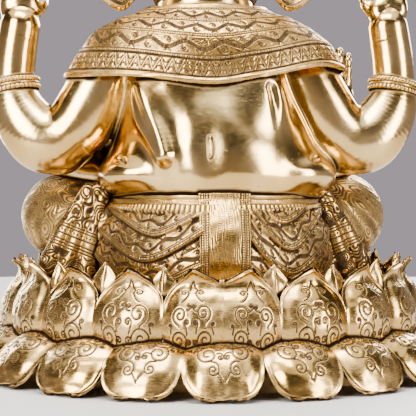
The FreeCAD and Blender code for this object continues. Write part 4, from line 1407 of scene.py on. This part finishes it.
def nearest_along(points, stations, per=8):
    """How far along a limb's middle line each point lies, in millimetres."""
    fine = catmull(stations, per)[:, :3]
    reach = np.concatenate([[0], np.cumsum(np.linalg.norm(np.diff(fine, axis=0), axis=1))])
    best, found = np.full(len(points), 1e9), np.zeros(len(points))
    for i, (a, b) in enumerate(zip(fine[:-1], fine[1:])):
        way = b - a
        t = np.clip(((points - a) @ way) / (way @ way), 0, 1)
        gap = np.linalg.norm(points - a - t[:, None] * way, axis=1)
        closer = gap < best
        best = np.where(closer, gap, best)
        found = np.where(closer, reach[i] + t * (reach[i + 1] - reach[i]), found)
    return found


def trunk_marks(points):
    """The creases across the trunk, fainter on the forehead."""
    down = nearest_along(points, TRUNK)
    wander = 1.2 * swirl_noise(points, 40.0, 31)[0]
    pitch = 6.2
    rings = soft_line(((down + wander) / pitch % 1 - 0.5) * pitch, 1.5)
    return rings * np.clip((down - 22) / 25, 0, 1) * (0.55 + 0.35 * swirl_noise(points, 25.0, 32)[0])


def brow_marks(points):
    """Three fine lines and a ring on the brow, and the creases over the eyes."""
    x, y, z = points.T
    front = y < -45
    groove = np.zeros(len(points))
    for i, height in enumerate((364.0, 367.6, 371.2)):
        line = soft_line(z - height - 0.004 * x**2, 1.0) * (np.abs(x) < 15 - 2 * i)
        groove = np.maximum(groove, line * front)
    ring = soft_line(np.hypot(x, z - 358) - 3.1, 0.9) * front
    for side in (1, -1):
        for shift, bend in ((0.0, 0.055), (2.4, 0.06)):
            arc = z - 355.5 - shift + bend * (side * x - 28) ** 2
            groove = np.maximum(groove, soft_line(arc, 0.9) * (np.abs(side * x - 28) < 9) * (y < -30))
    return np.maximum(groove, ring)


def head_marks(points):
    return np.maximum(brow_marks(points), trunk_marks(points))


def head():
    clay = Sculpt()
    clay.ball(HEAD_CENTRE, (49.5, 51.5, 45), 0)
    for side in (1, -1):
        clay.ball((side * 19, -32, 371), (23, 24, 21), 12)
        clay.ball((side * 27, -40, 333), (18, 21, 19), 11)
    trunk_form = catmull(TRUNK[:4], 8)
    clay.step((-32, -120, 290), (32, -10, 382), chain(trunk_form), 12, 1)
    clay.ball((0, -62, 312), (17, 17, 9), 7)
    clay.ball((0, -75, 318), (13, 10, 2.2), 3, -1)
    clay.step((-20, -130, 270), (20, -80, 312), chain(catmull(TRUNK[2:5], 8)), 2, 1)
    for side in (1, -1):
        # eye socket, eye, lids
        clay.ball((side * 29, -57, 348), (9, 6, 5.5), 5, -1)
        clay.ball((side * 28.5, -52.6, 348), (7.4, 5, 4.4), 0.8)
        clay.tube(mirror(UPPER_LID, side), 0.8)
        clay.tube(mirror(LOWER_LID, side), 0.8)
        clay.ball((side * 27.6, -57.2, 348), (2.2, 1.0, 2.2), 0.5, -1)
        clay.tube([(side * 19, -58, 357, 1.2), (side * 27, -55, 361, 2.2), (side * 37, -47, 358.5, 1.4)], 4)
    figure("head_cast", clay, 0.85, POLISHED, ["head"], head_marks, 0.5)
    clay = Sculpt()
    clay.tube(TRUNK[2:], 0, per=8)
    tip = np.array(TRUNK[-1][:3])
    clay.ball(tip + (2, 0, 3), (9.5, 9.5, 8.5), 3)
    clay.ball(tip + (4.5, -1, 11), (7.8, 7.8, 7.8), 1.5, -1)
    figure("trunk_cast", clay, 0.8, POLISHED, ["trunk"], trunk_marks, 0.6)
    for side_name, side in SIDES.items():
        reach = 38 if side > 0 else 20
        stations = [(25, -48, 334, 8), (28, -66, 325, 6.8), (30.5, -66 - reach / 2, 319.5, 5.2)]
        stations.append((31, -66 - reach, 319 if side < 0 else 321, 4.4 if side < 0 else 2.0))
        clay = Sculpt()
        clay.tube(mirror(stations, side), 0, per=8)
        clay.tube([(side * 27.6, -63, 326.6, 8.4), (side * 27.8, -65.5, 325.5, 8.6)], 1.0)
        if side < 0:
            clay.ball((-31, -66 - reach - 4, 319), (7, 5.2, 7), 0.5, -1)
        figure(f"{side_name}_tusk_cast", clay, 0.6, POLISHED, [f"{side_name}_tusk"])


def ears():
    """Broad ears with a rolled rim and veins that fan out from the cheek."""
    outline = np.array(EAR_OUTLINE, float)
    fine = catmull(np.vstack([outline, outline[:1]]), 40)[:-1]
    heart = np.array([70.0, 352.0])
    rings = np.linspace(0, 1, 74) ** 0.9
    for side_name, side in SIDES.items():
        faces = []
        for face in (-1, 1):
            spread = rings if face < 0 else rings[::-1]
            flat = heart + spread[:, None, None] * (fine - heart)
            x, z = flat[..., 0], flat[..., 1]
            r = spread[:, None] * np.ones(len(fine))
            rolled = 1.6 * np.exp(-(((r - 0.91) / 0.06) ** 2)) * (1 - r**14)
            thick = 3.3 * np.sqrt(np.clip(1 - r**8, 0, 1)) + rolled
            angle = np.arctan2(z - 352, x - 40)
            between = ((angle + 0.10 * np.sin(x / 7)) / 0.17 % 1 - 0.5) * 0.17
            veins = soft_line(between * np.maximum(x - 38, 4), 1.3)
            veins = veins * np.clip((x - 48) / 14, 0, 1) * np.clip((0.86 - r) / 0.1, 0, 1)
            edge = soft_line((r - 0.8) * 40, 1.2) * (x > 50)
            groove = np.maximum(veins * 0.8, edge)
            wave = 3.0 * np.sin(angle * 3.2 + 0.4) * r**2 + 5 * (r - 0.5) ** 2
            dish = -4.5 * (1 - r**2) if face < 0 else -3.0 * (1 - r**2)
            y = 5 + (x - 44) * 0.22 + wave + face * thick - dish * 0.6 - face * 0.5 * groove
            faces.append((np.stack([side * x, y, z], -1), groove))
        points = np.concatenate([f[0] for f in faces])
        groove = np.concatenate([f[1] for f in faces])
        quads = grid_quads(len(points), len(fine), True)
        if side < 0:
            quads = quads[:, ::-1]
        leaf = (points.reshape(-1, 3) + (FIGURE_X, 0, 0), quads, groove.ravel(), [])
        cast(f"{side_name}_ear_cast", leaf, POLISHED, [f"{side_name}_ear"])


HAIR_HIGH_Z = 378
HAIR_LENGTH = 74


def hair():
    """Combed strands down the back of the head, from the crown to the shawl."""
    columns, rows = 420, 90
    turn = np.radians(np.linspace(-14, 194, columns))[None, :]
    down = np.linspace(0, 1, rows)[:, None]
    z = HAIR_HIGH_Z - HAIR_LENGTH * down + 0 * turn
    swell = np.sqrt(np.clip(1 - ((z - 352) / 60) ** 2, 0.2, 1))
    reach_x, reach_y = 50 * swell + 1.5, 52 * swell + 3.0 - 7 * np.clip(down - 0.6, 0, 1)
    surface = np.stack([reach_x * np.cos(turn), -12 + reach_y * np.sin(turn) + 0 * z, z], -1)
    u = turn * 52 + 0.8 * np.sin(down * 5 + turn * 3) + 0.4 * np.sin(down * 17 + turn * 11)
    locks = np.cos(u * 2 * math.pi / 8.0)
    strands = np.abs(((u / 1.9) % 1) - 0.5) * 2
    groove = np.clip(strands * 2.2 - 1.2, 0, 1)
    rise = 1.3 * locks + 0.7 * (1 - strands**2) - 0.4 * groove
    rise = rise * np.clip((turn - turn.min()) * 3, 0, 1) * np.clip((turn.max() - turn) * 3, 0, 1)
    normals = sheet_normals(surface, False)
    outward = np.sign((normals * (surface - (0, -12, 350))).sum(-1))
    surface = surface + normals * (rise * outward)[..., None]
    points, *rest = closed_sheet(surface[::-1], 4.0, groove[::-1])
    cast("hair_cast", (points + (FIGURE_X, 0, 0), *rest), DARK, ["hair"])


# ---------------------------------------------------------------- crown, necklace and what the hands hold

CROWN_Y = -8.0
CROWN_LOW_Z = node_box("crown_band")[0][2]
TIERS_LOW_Z = node_box("crown_body")[0][2]
TIERS_HIGH_Z = node_box("crown_body")[1][2]


def lathe(outline, centre, columns=420, step=0.55, shape=None):
    """A solid turned about an upright line through centre, from a closed run of (radius, z) points.

    shape(turn, along, radius, z) gives the extra height of the surface and how deep it lies in cut lines.
    """
    outline = np.array(outline, float)
    runs = []
    for a, b in zip(outline[:-1], outline[1:]):
        count = max(int(np.hypot(*(b - a)) / step), 1)
        runs.append(a + (b - a) * np.linspace(0, 1, count, endpoint=False)[:, None])
    runs.append(outline[-1:])
    path = np.concatenate(runs)
    slope = np.gradient(path, axis=0)
    slope /= np.maximum(np.linalg.norm(slope, axis=1, keepdims=True), 1e-9)
    out = np.stack([slope[:, 1], -slope[:, 0]], 1)
    reach = np.concatenate([[0], np.cumsum(np.hypot(*np.diff(path, axis=0).T))])
    turn = np.linspace(0, 2 * math.pi, columns, endpoint=False)[None, :]
    radius, z = path[:, :1], path[:, 1:]
    groove = np.zeros((len(path), columns))
    rise = np.zeros((len(path), columns))
    if shape:
        rise, groove = shape(turn, reach[:, None], radius, z)
        rise = rise + np.zeros((len(path), columns))
        groove = groove + np.zeros((len(path), columns))
    rise = rise * np.clip(radius / 3, 0, 1)
    r = np.maximum(radius + out[:, :1] * rise, 0.02)
    points = np.stack([r * np.cos(turn), r * np.sin(turn), z + out[:, 1:] * rise], -1) + np.array(centre)
    quads = grid_quads(len(path), columns, True)
    return points.reshape(-1, 3) + (FIGURE_X, 0, 0), quads, groove.ravel(), []


def crown_band_shape(turn, _, radius, z):
    """Two beaded edges with a row of cut flowers between them."""
    v = z - CROWN_LOW_Z
    outside = radius > 50
    u = turn * 54
    rise = np.zeros_like(u + v)
    for middle_v in (1.8, 14.2):
        bead = np.clip(1 - ((v - middle_v) / 1.5) ** 2 - ((u / 3.2 % 1 - 0.5) * 2) ** 2, 0, 1) ** 0.5
        rise = rise + 1.3 * bead
    pitch = 2 * math.pi * 54 / 26
    du, dv = (u / pitch % 1 - 0.5) * pitch, v - 8
    far = np.hypot(du, dv)
    petals = np.abs(np.cos(3 * np.arctan2(dv, du)))
    groove = soft_line(far - 1.6 - 2.6 * petals, 0.9)
    groove = np.maximum(groove, soft_line(far - 1.1, 0.7))
    groove = np.maximum(groove, soft_line((np.abs(du) - pitch / 2) + np.abs(dv) * 0.25, 0.8))
    groove = groove * (np.abs(dv) < 4.9)
    for line in (3.6, 12.4):
        groove = np.maximum(groove, soft_line(v - line, 0.9))
    rise = rise + 0.8 * np.clip(1 - far / 2.2, 0, 1)
    return (rise - 0.45 * groove) * outside, groove * outside


def tier_shape(turn, _, radius, z):
    """Upright leaves round the wide tiers and beads on the narrow ledges."""
    share = (z - TIERS_LOW_Z) / (TIERS_HIGH_Z - TIERS_LOW_Z)
    outside = radius > 12
    rise = np.zeros_like(turn + z)
    groove = np.zeros_like(turn + z)
    for low, high, count in ((0.17, 0.42, 22), (0.43, 0.68, 18), (0.69, 0.9, 14), (0.91, 1.0, 12)):
        inside = (share > low) & (share < high)
        v = np.clip((share - low) / (high - low), 0, 1)
        a = np.abs((turn * count / (2 * math.pi)) % 1 - 0.5) * 2
        edge = np.sqrt(np.clip(1 - v**1.7, 0, 1)) * 0.93
        leaf = np.clip((edge - a) * 5, 0, 1)
        rise = rise + inside * (1.7 * np.sqrt(leaf) + 0.7 * np.exp(-((a / 0.1) ** 2)) * leaf)
        rim = soft_line((edge - a) * 5 - 0.7, 0.5)
        veins = soft_line((a * 3 + v * 2.2) % 0.55 - 0.27, 0.13) * (leaf > 0.9)
        groove = np.maximum(groove, inside * np.maximum(rim, veins * 0.7))
        groove = np.maximum(groove, inside * (leaf < 0.05) * 0.7)
    ledge = (share > 0.0) & (share < 0.13)
    across = ((turn * 48 / (2 * math.pi)) % 1 - 0.5) * 2
    bead = np.clip(1 - ((share - 0.065) / 0.05) ** 2 - across**2, 0, 1) ** 0.5
    rise = rise + 1.6 * bead * ledge
    groove = np.maximum(groove, ledge * np.clip(1 - 3 * bead, 0, 1) * 0.7)
    return (rise - 0.35 * groove) * outside, groove * outside


def finial_shape(turn, _, radius, __):
    ribs = np.cos(turn * 14)
    wide = np.clip((radius - 4) / 6, 0, 1)
    return 0.9 * ribs * wide, np.clip(-ribs * 1.6 - 0.7, 0, 1) * wide


def crown():
    centre = (0, CROWN_Y, 0)
    low, high = CROWN_LOW_Z, TIERS_LOW_Z
    side = [(52.6, low), (53.6, low + 0.8), (53.8, low + 8), (53.6, high - 0.8), (52.6, high)]
    band = [(0.05, low), (20, low), *side, (20, high), (0.05, high)]
    cast("crown_band_cast", lathe(band, centre, 900, 0.5, crown_band_shape), ORNAMENT, ["crown_band"])
    rise = IDOL_TOP_Z - TIERS_LOW_Z
    tiers = [
        (47, 0.0),
        (50.5, 0.015),
        (50.8, 0.06),
        (47.5, 0.1),
        (43.5, 0.115),
        (43.6, 0.2),
        (41.5, 0.27),
        (36, 0.3),
        (35.6, 0.32),
        (35.4, 0.38),
        (33.4, 0.45),
        (27.8, 0.48),
        (27.2, 0.5),
        (27, 0.55),
        (24.4, 0.61),
        (19.6, 0.635),
        (19.2, 0.65),
        (18.6, 0.7),
    ]
    path = [(r, TIERS_LOW_Z + rise * share) for r, share in tiers]
    path = [(0.05, path[0][1])] + [tuple(p) for p in catmull(path, 5)] + [(0.05, path[-1][1])]
    cast("crown_tiers_cast", lathe(path, centre, 760, 0.6, tier_shape), ORNAMENT, ["crown_body"])
    finial = [(11, 0.7), (15, 0.71), (17, 0.745), (16, 0.78), (11.5, 0.81), (6.4, 0.828), (6.2, 0.84)]
    finial += [(8.4, 0.865), (8.2, 0.905), (5.0, 0.935), (3.2, 0.955), (2.8, 0.975), (1.6, 0.993)]
    finial += [(0.05, 1.0)]
    path = [(r, TIERS_LOW_Z + rise * share) for r, share in finial]
    path = [(0.05, path[0][1])] + [tuple(p) for p in catmull(path, 6)]
    cast("crown_finial_cast", lathe(path, centre, 360, 0.5, finial_shape), ORNAMENT, ["crown_finial"])


def ball_mesh(centre, radius, bumps=0.0, seed=0, stretch=1.0):
    """A round sweet or bead. stretch draws its top up into a soft point."""
    rows, columns = 26, 40
    tilt = np.linspace(0, math.pi, rows)[:, None]
    turn = np.linspace(0, 2 * math.pi, columns, endpoint=False)[None, :]
    point = np.stack([np.sin(tilt) * np.cos(turn), np.sin(tilt) * np.sin(turn), -np.cos(tilt) + 0 * turn], -1)
    peak = 1 + (stretch - 1) * np.clip(point[..., 2], 0, 1) ** 6
    lumps = swirl_noise(point * radius, radius * 0.7, seed)[0] * bumps
    point = point * (radius * peak * (1 + lumps))[..., None]
    points = (point + np.array(centre)).reshape(-1, 3) + (FIGURE_X, 0, 0)
    return points, grid_quads(rows, columns, True), np.clip(-lumps.ravel() * 6, 0, 1), []


GARLAND_RADIUS = 56.0
GARLAND_TOP_Z = 273.0
GARLAND_STEP = 2.75  # degrees from bead to bead


def necklace(clay):
    """Round beads on the chest with small ones between them and a pendant in the middle."""
    beads_made = []
    radius, top, step = GARLAND_RADIUS, GARLAND_TOP_Z, GARLAND_STEP
    pendant_z = top - radius - 8
    for i in range(-28, 29):
        turn = math.radians(i * step)
        x, z = radius * math.sin(turn), top - radius * math.cos(turn)
        y = np.linspace(-140, -20, 600)
        gap = clay.at(np.stack([np.full(600, x), y, np.full(600, z)], 1))
        surface_y = y[np.argmax(gap < 0)]
        size = (4.2, 2.0, 2.6, 2.0)[i % 4]
        beads_made.append(ball_mesh((x, surface_y - size * 0.45, z), size))
        if i == 0:
            lowest = surface_y
    for i in range(8):
        turn = 2 * math.pi * i / 8
        spot = (5.6 * math.cos(turn), lowest - 3.2, pendant_z + 5.6 * math.sin(turn))
        beads_made.append(ball_mesh(spot, 2.2))
    beads_made.append(ball_mesh((0, lowest - 3.0, pendant_z), 4.4))
    cast("necklace_beads", joined(beads_made), ORNAMENT, ["necklace"])


ROD_LOW_Z = 314.0
NOOSE_ROD_HIGH_Z = 424.0


def rod_foot(side):
    x, y, *_ = REAR_FOREARM[-1]
    return np.array([side * (x - 2), y - 17, ROD_LOW_Z])


def rod_outline(height):
    """A staff with turned rings along it."""
    rings = [(0.05, 0), (3.0, 0), (4.0, 1), (4.0, 6)]
    for z in (30, 38, 72, 80, 96):
        rings += [(3.7, z - 3), (4.9, z - 1.5), (4.9, z + 1.5), (3.7, z + 3)]
    return rings + [(3.8, height - 1), (0.05, height)]


# outline of the axe's blade as x from the staff and z from the staff's top
BLADE_ROOT = [(-4, -30), (-4, -4), (-14, 0), (-24, 6), (-33, 9)]
BLADE_EDGE = [(-38.5, -4), (-40.5, -17), (-38.5, -30), (-33, -43), (-24, -38), (-14, -33)]


def axe():
    foot = rod_foot(-1)
    top = node_box("axe")[1][2] - 9.5 - foot[2]
    shaft = lathe(rod_outline(top), foot, 64, 1.2)
    tip = [(0.05, -4), (3.8, -3.5), (6.6, 0.5), (6.6, 4), (5.0, 7.0), (1.8, 8.7), (0.05, 9.3)]
    knob = lathe(catmull(tip, 5), foot + (0, 0, top), 90, 0.5, finial_shape)
    outline = np.array([*BLADE_ROOT, *BLADE_EDGE], float)
    fine = catmull(np.vstack([outline, outline[:1]]), 16)[:-1]
    heart = np.array([-20.0, -17.0])
    faces = []
    rings = np.linspace(0, 1, 44)
    for face in (-1, 1):
        spread = rings if face < 0 else rings[::-1]
        flat = heart + spread[:, None, None] * (fine - heart)
        r = spread[:, None] * np.ones(len(fine))
        thick = np.minimum(2.9, 3.3 * np.clip(1.0 - r, 0, 1) * 3.2 + 0.25)
        far = np.hypot(flat[..., 0] + 18, flat[..., 1] + 17)
        groove = np.maximum(soft_line(far - 7, 1.0), soft_line(far - 3, 0.9))
        groove = np.maximum(groove, soft_line((r - 0.72) * 18, 1.0))
        y = foot[1] + face * (thick - 0.35 * groove)
        faces.append((np.stack([flat[..., 0] + foot[0], y, flat[..., 1] + foot[2] + top], -1), groove))
    points = np.concatenate([f[0] for f in faces]).reshape(-1, 3) + (FIGURE_X, 0, 0)
    groove = np.concatenate([f[1] for f in faces]).ravel()
    quads = grid_quads(2 * len(rings), len(fine), True)[:, ::-1]
    cast("axe_cast", joined([shaft, knob, (points, quads, groove, [])]), ORNAMENT, ["axe"])


def noose():
    foot = rod_foot(1)
    top = NOOSE_ROD_HIGH_Z - foot[2]
    shaft = lathe(rod_outline(top), foot, 64, 1.2)
    loop = bracelet(foot + (0, 0, top + 17), (0, 1, 0), 17, 4.1, "rope", 22)
    knot = ball_mesh(foot + (0, 0, top + 0.5), 6.4, 0.05, 5)
    cast("noose_cast", joined([shaft, loop, knot]), ORNAMENT, ["noose"])


def bowl_shape(turn, along, _, __):
    outer = (along > 12) & (along < 34)
    lobes = np.abs(np.sin(turn * 9))
    groove = soft_line((1 - lobes) * 6 - 0.2, 1.6) * outer
    return (0.9 * lobes * outer - 0.3 * groove), groove


def bowl_and_sweets():
    outline = [(0.05, 0), (12, 0), (13, 1), (17, 3.4), (21, 7.4), (23.6, 12), (24.4, 15), (25, 16)]
    outline += [(23.6, 16.6), (22, 15.6), (21.0, 13), (18.5, 9), (11, 3), (0.05, 2.9)]
    cast("sweet_bowl_cast", lathe(outline, BOWL_FOOT, 300, 0.6, bowl_shape), ORNAMENT, ["sweet_bowl"])
    heap = []
    for i in range(6):
        turn = math.radians(60 * i)
        spot = np.array(BOWL_FOOT) + (12.0 * math.cos(turn), 12.0 * math.sin(turn), 14.0)
        heap.append(ball_mesh(spot, 6.1, 0.03, i, 1.25))
    heap.append(ball_mesh(np.array(BOWL_FOOT) + (0, 0, 10), 6.1, 0.03, 8))
    heap.append(ball_mesh(np.array(BOWL_FOOT) + (0, 0, 22), 6.1, 0.03, 9, 1.3))
    cast("sweets_cast", joined(heap), ORNAMENT, ["sweets"])
    low, high = node_box("trunk_sweet")
    spot = (low + high) / 2 - (FIGURE_X, 0, 0)
    cast("trunk_sweet_cast", ball_mesh(spot, 7.9, 0.03, 12, 1.2), ORNAMENT, ["trunk_sweet"])


# ---------------------------------------------------------------- painted shade in creases and under neighbours


def paint_crease_shade(objects, voxel=1.5):
    """Paints shade: stores on every piece how deep each point lies in creases or under a neighbour, from 0
    (open) to 1, for the brass finish to darken as painted shade.
    """
    points, triangles, base = [], [], 0
    for obj in objects:
        mesh = obj.data
        co = np.empty(len(mesh.vertices) * 3, np.float32)
        mesh.vertices.foreach_get("co", co)
        mesh.calc_loop_triangles()
        tri = np.empty(len(mesh.loop_triangles) * 3, np.int32)
        mesh.loop_triangles.foreach_get("vertices", tri)
        points.append(co.reshape(-1, 3) / MM / voxel)
        triangles.append(tri.reshape(-1, 3).astype(np.uint32) + base)
        base += len(mesh.vertices)
    reach = 6.0
    grid = vdb.FloatGrid.createLevelSetFromPolygons(
        np.concatenate(points).astype(np.float32),
        triangles=np.concatenate(triangles),
        exBandWidth=reach,
        inBandWidth=2.0,
    )
    low, high = grid.evalActiveVoxelBoundingBox()
    solid = np.empty([high[k] - low[k] + 1 for k in range(3)], np.float32)
    grid.copyToArray(solid, ijk=low)
    for obj, spots in zip(objects, points):
        mesh = obj.data
        normal = np.empty(len(mesh.vertices) * 3, np.float32)
        mesh.vertex_normals.foreach_get("vector", normal)
        normal = normal.reshape(-1, 3)
        shade = np.zeros(len(spots), np.float32)
        for step, weight in ((1.6, 0.4), (3.6, 0.6)):
            room = sample(solid, spots + normal * step - np.array(low))
            shade += weight * np.clip(1 - room / step, 0, 1)
        # painted shade in creases and under neighbouring parts, which the brass finish darkens
        crease_shade = mesh.attributes.new("occlusion_shade", "FLOAT", "POINT")
        crease_shade.data.foreach_set("value", shade.astype(np.float32))


def sample(solid, spots):
    """Trilinear values of a dense grid at fractional spots."""
    size = np.array(solid.shape) - 2
    spots = np.clip(spots, 0, size + 0.999)
    base = np.minimum(spots.astype(int), size)
    share = spots - base
    value = 0
    for corner in np.ndindex(2, 2, 2):
        weight = np.prod(np.where(corner, share, 1 - share), axis=1)
        x, y, z = (base + corner).T
        value = value + weight * solid[x, y, z]
    return value


# ---------------------------------------------------------------- stage, light and camera


def stage():
    material = bpy.data.materials.new("pale_floor")
    tree, body = shader(material)
    coords = add_node(tree, "ShaderNodeTexCoord").outputs["Object"]
    grain = noise(tree, coords, 40.0, 3.0)
    colour = blend_colour(tree, grain, (0.58, 0.565, 0.555), (0.62, 0.61, 0.60))
    tree.links.new(colour, body.inputs["Base Color"])
    body.inputs["Roughness"].default_value = 0.6
    bpy.ops.mesh.primitive_circle_add(vertices=192, radius=1.1, fill_type="NGON")
    floor = bpy.context.object
    floor.name = "floor"
    floor.data.materials.append(material)
    world = bpy.data.worlds.new("studio")
    bpy.context.scene.world = world
    world.use_nodes = True
    tree = world.node_tree
    back = tree.nodes["Background"]
    coords = add_node(tree, "ShaderNodeTexCoord").outputs["Generated"]
    split = add_node(tree, "ShaderNodeSeparateXYZ")
    tree.links.new(coords, split.inputs[0])
    height = ramp(tree, split.outputs["Z"], 0.16, 0.5)
    tree.links.new(blend_colour(tree, height, (0.34, 0.31, 0.33), (0.07, 0.062, 0.058)), back.inputs["Color"])
    back.inputs["Strength"].default_value = 1.0


def softbox(name, place, aim, width, height, power, colour=(1, 1, 1)):
    light = bpy.data.lights.new(name, "AREA")
    light.shape = "RECTANGLE"
    light.size, light.size_y = width, height
    light.energy = power
    light.color = colour
    obj = bpy.data.objects.new(name, light)
    obj.location = place
    obj.rotation_mode = "QUATERNION"
    obj.rotation_quaternion = (Vector(aim) - Vector(place)).to_track_quat("-Z", "Y")
    bpy.context.collection.objects.link(obj)


def lights():
    heart = (0, 0, 0.22)
    bpy.context.scene.view_settings.look = "AgX - Medium High Contrast"
    softbox("key", (0.95, 1.15, 0.75), heart, 0.8, 0.95, 34, (1.0, 0.97, 0.92))
    softbox("fill", (-1.25, 0.9, 0.45), heart, 0.55, 1.1, 21, (1.0, 0.98, 0.96))
    softbox("top", (0.1, 0.35, 1.5), heart, 1.0, 0.6, 22)
    softbox("overhead", (0, 0, 3.2), (0, 0, 0), 5.0, 5.0, 105)
    softbox("front", (-0.7, -1.4, 0.9), heart, 0.9, 0.9, 26)
    softbox("front_low", (0.9, -1.2, 0.4), heart, 0.5, 0.9, 12)


def camera():
    """From behind the idol, a little to its left, at shoulder height."""
    data = bpy.data.cameras.new("camera")
    data.sensor_width = 36.0
    data.lens = 125.0
    data.clip_start = 0.05
    obj = bpy.data.objects.new("camera", data)
    place = Vector((0.0573, 1.2617, 0.1715))
    aim = Vector((0.0035, 0.0, 0.13825))
    obj.location = place
    obj.rotation_mode = "QUATERNION"
    obj.rotation_quaternion = (aim - place).to_track_quat("-Z", "Y")
    bpy.context.collection.objects.link(obj)
    bpy.context.scene.camera = obj


def cover_cad():
    """The CAD nodes that still show get their metal's own finish."""
    finish = {
        "base_brass": CAST,
        "fixing_steel": STEEL,
        "polished_brass": POLISHED,
        "engraved_brass": ENGRAVED,
        "ornament_brass": ORNAMENT,
        "petal_brass": PETAL,
        "dark_brass": DARK,
    }
    slots = {part["node"]: part["material_slot"] for part in frame["record"]["subparts"]}
    for node, obj in frame["nodes"].items():
        material = finish[slots[node]]
        obj.data.materials.clear()
        obj.data.materials.append(material)


def main():
    cover_cad()
    lotus()
    clay = torso_and_arms()
    hands()
    bangles()
    shawl(clay)
    hip_cloth()
    sash()
    legs()
    head()
    ears()
    hair()
    crown()
    necklace(clay)
    axe()
    noose()
    bowl_and_sweets()
    meshes = [obj for obj in bpy.context.scene.objects if obj.type == "MESH"]
    paint_crease_shade([obj for obj in meshes if obj.name not in frame["nodes"]])
    stage()
    lights()
    camera()


main()
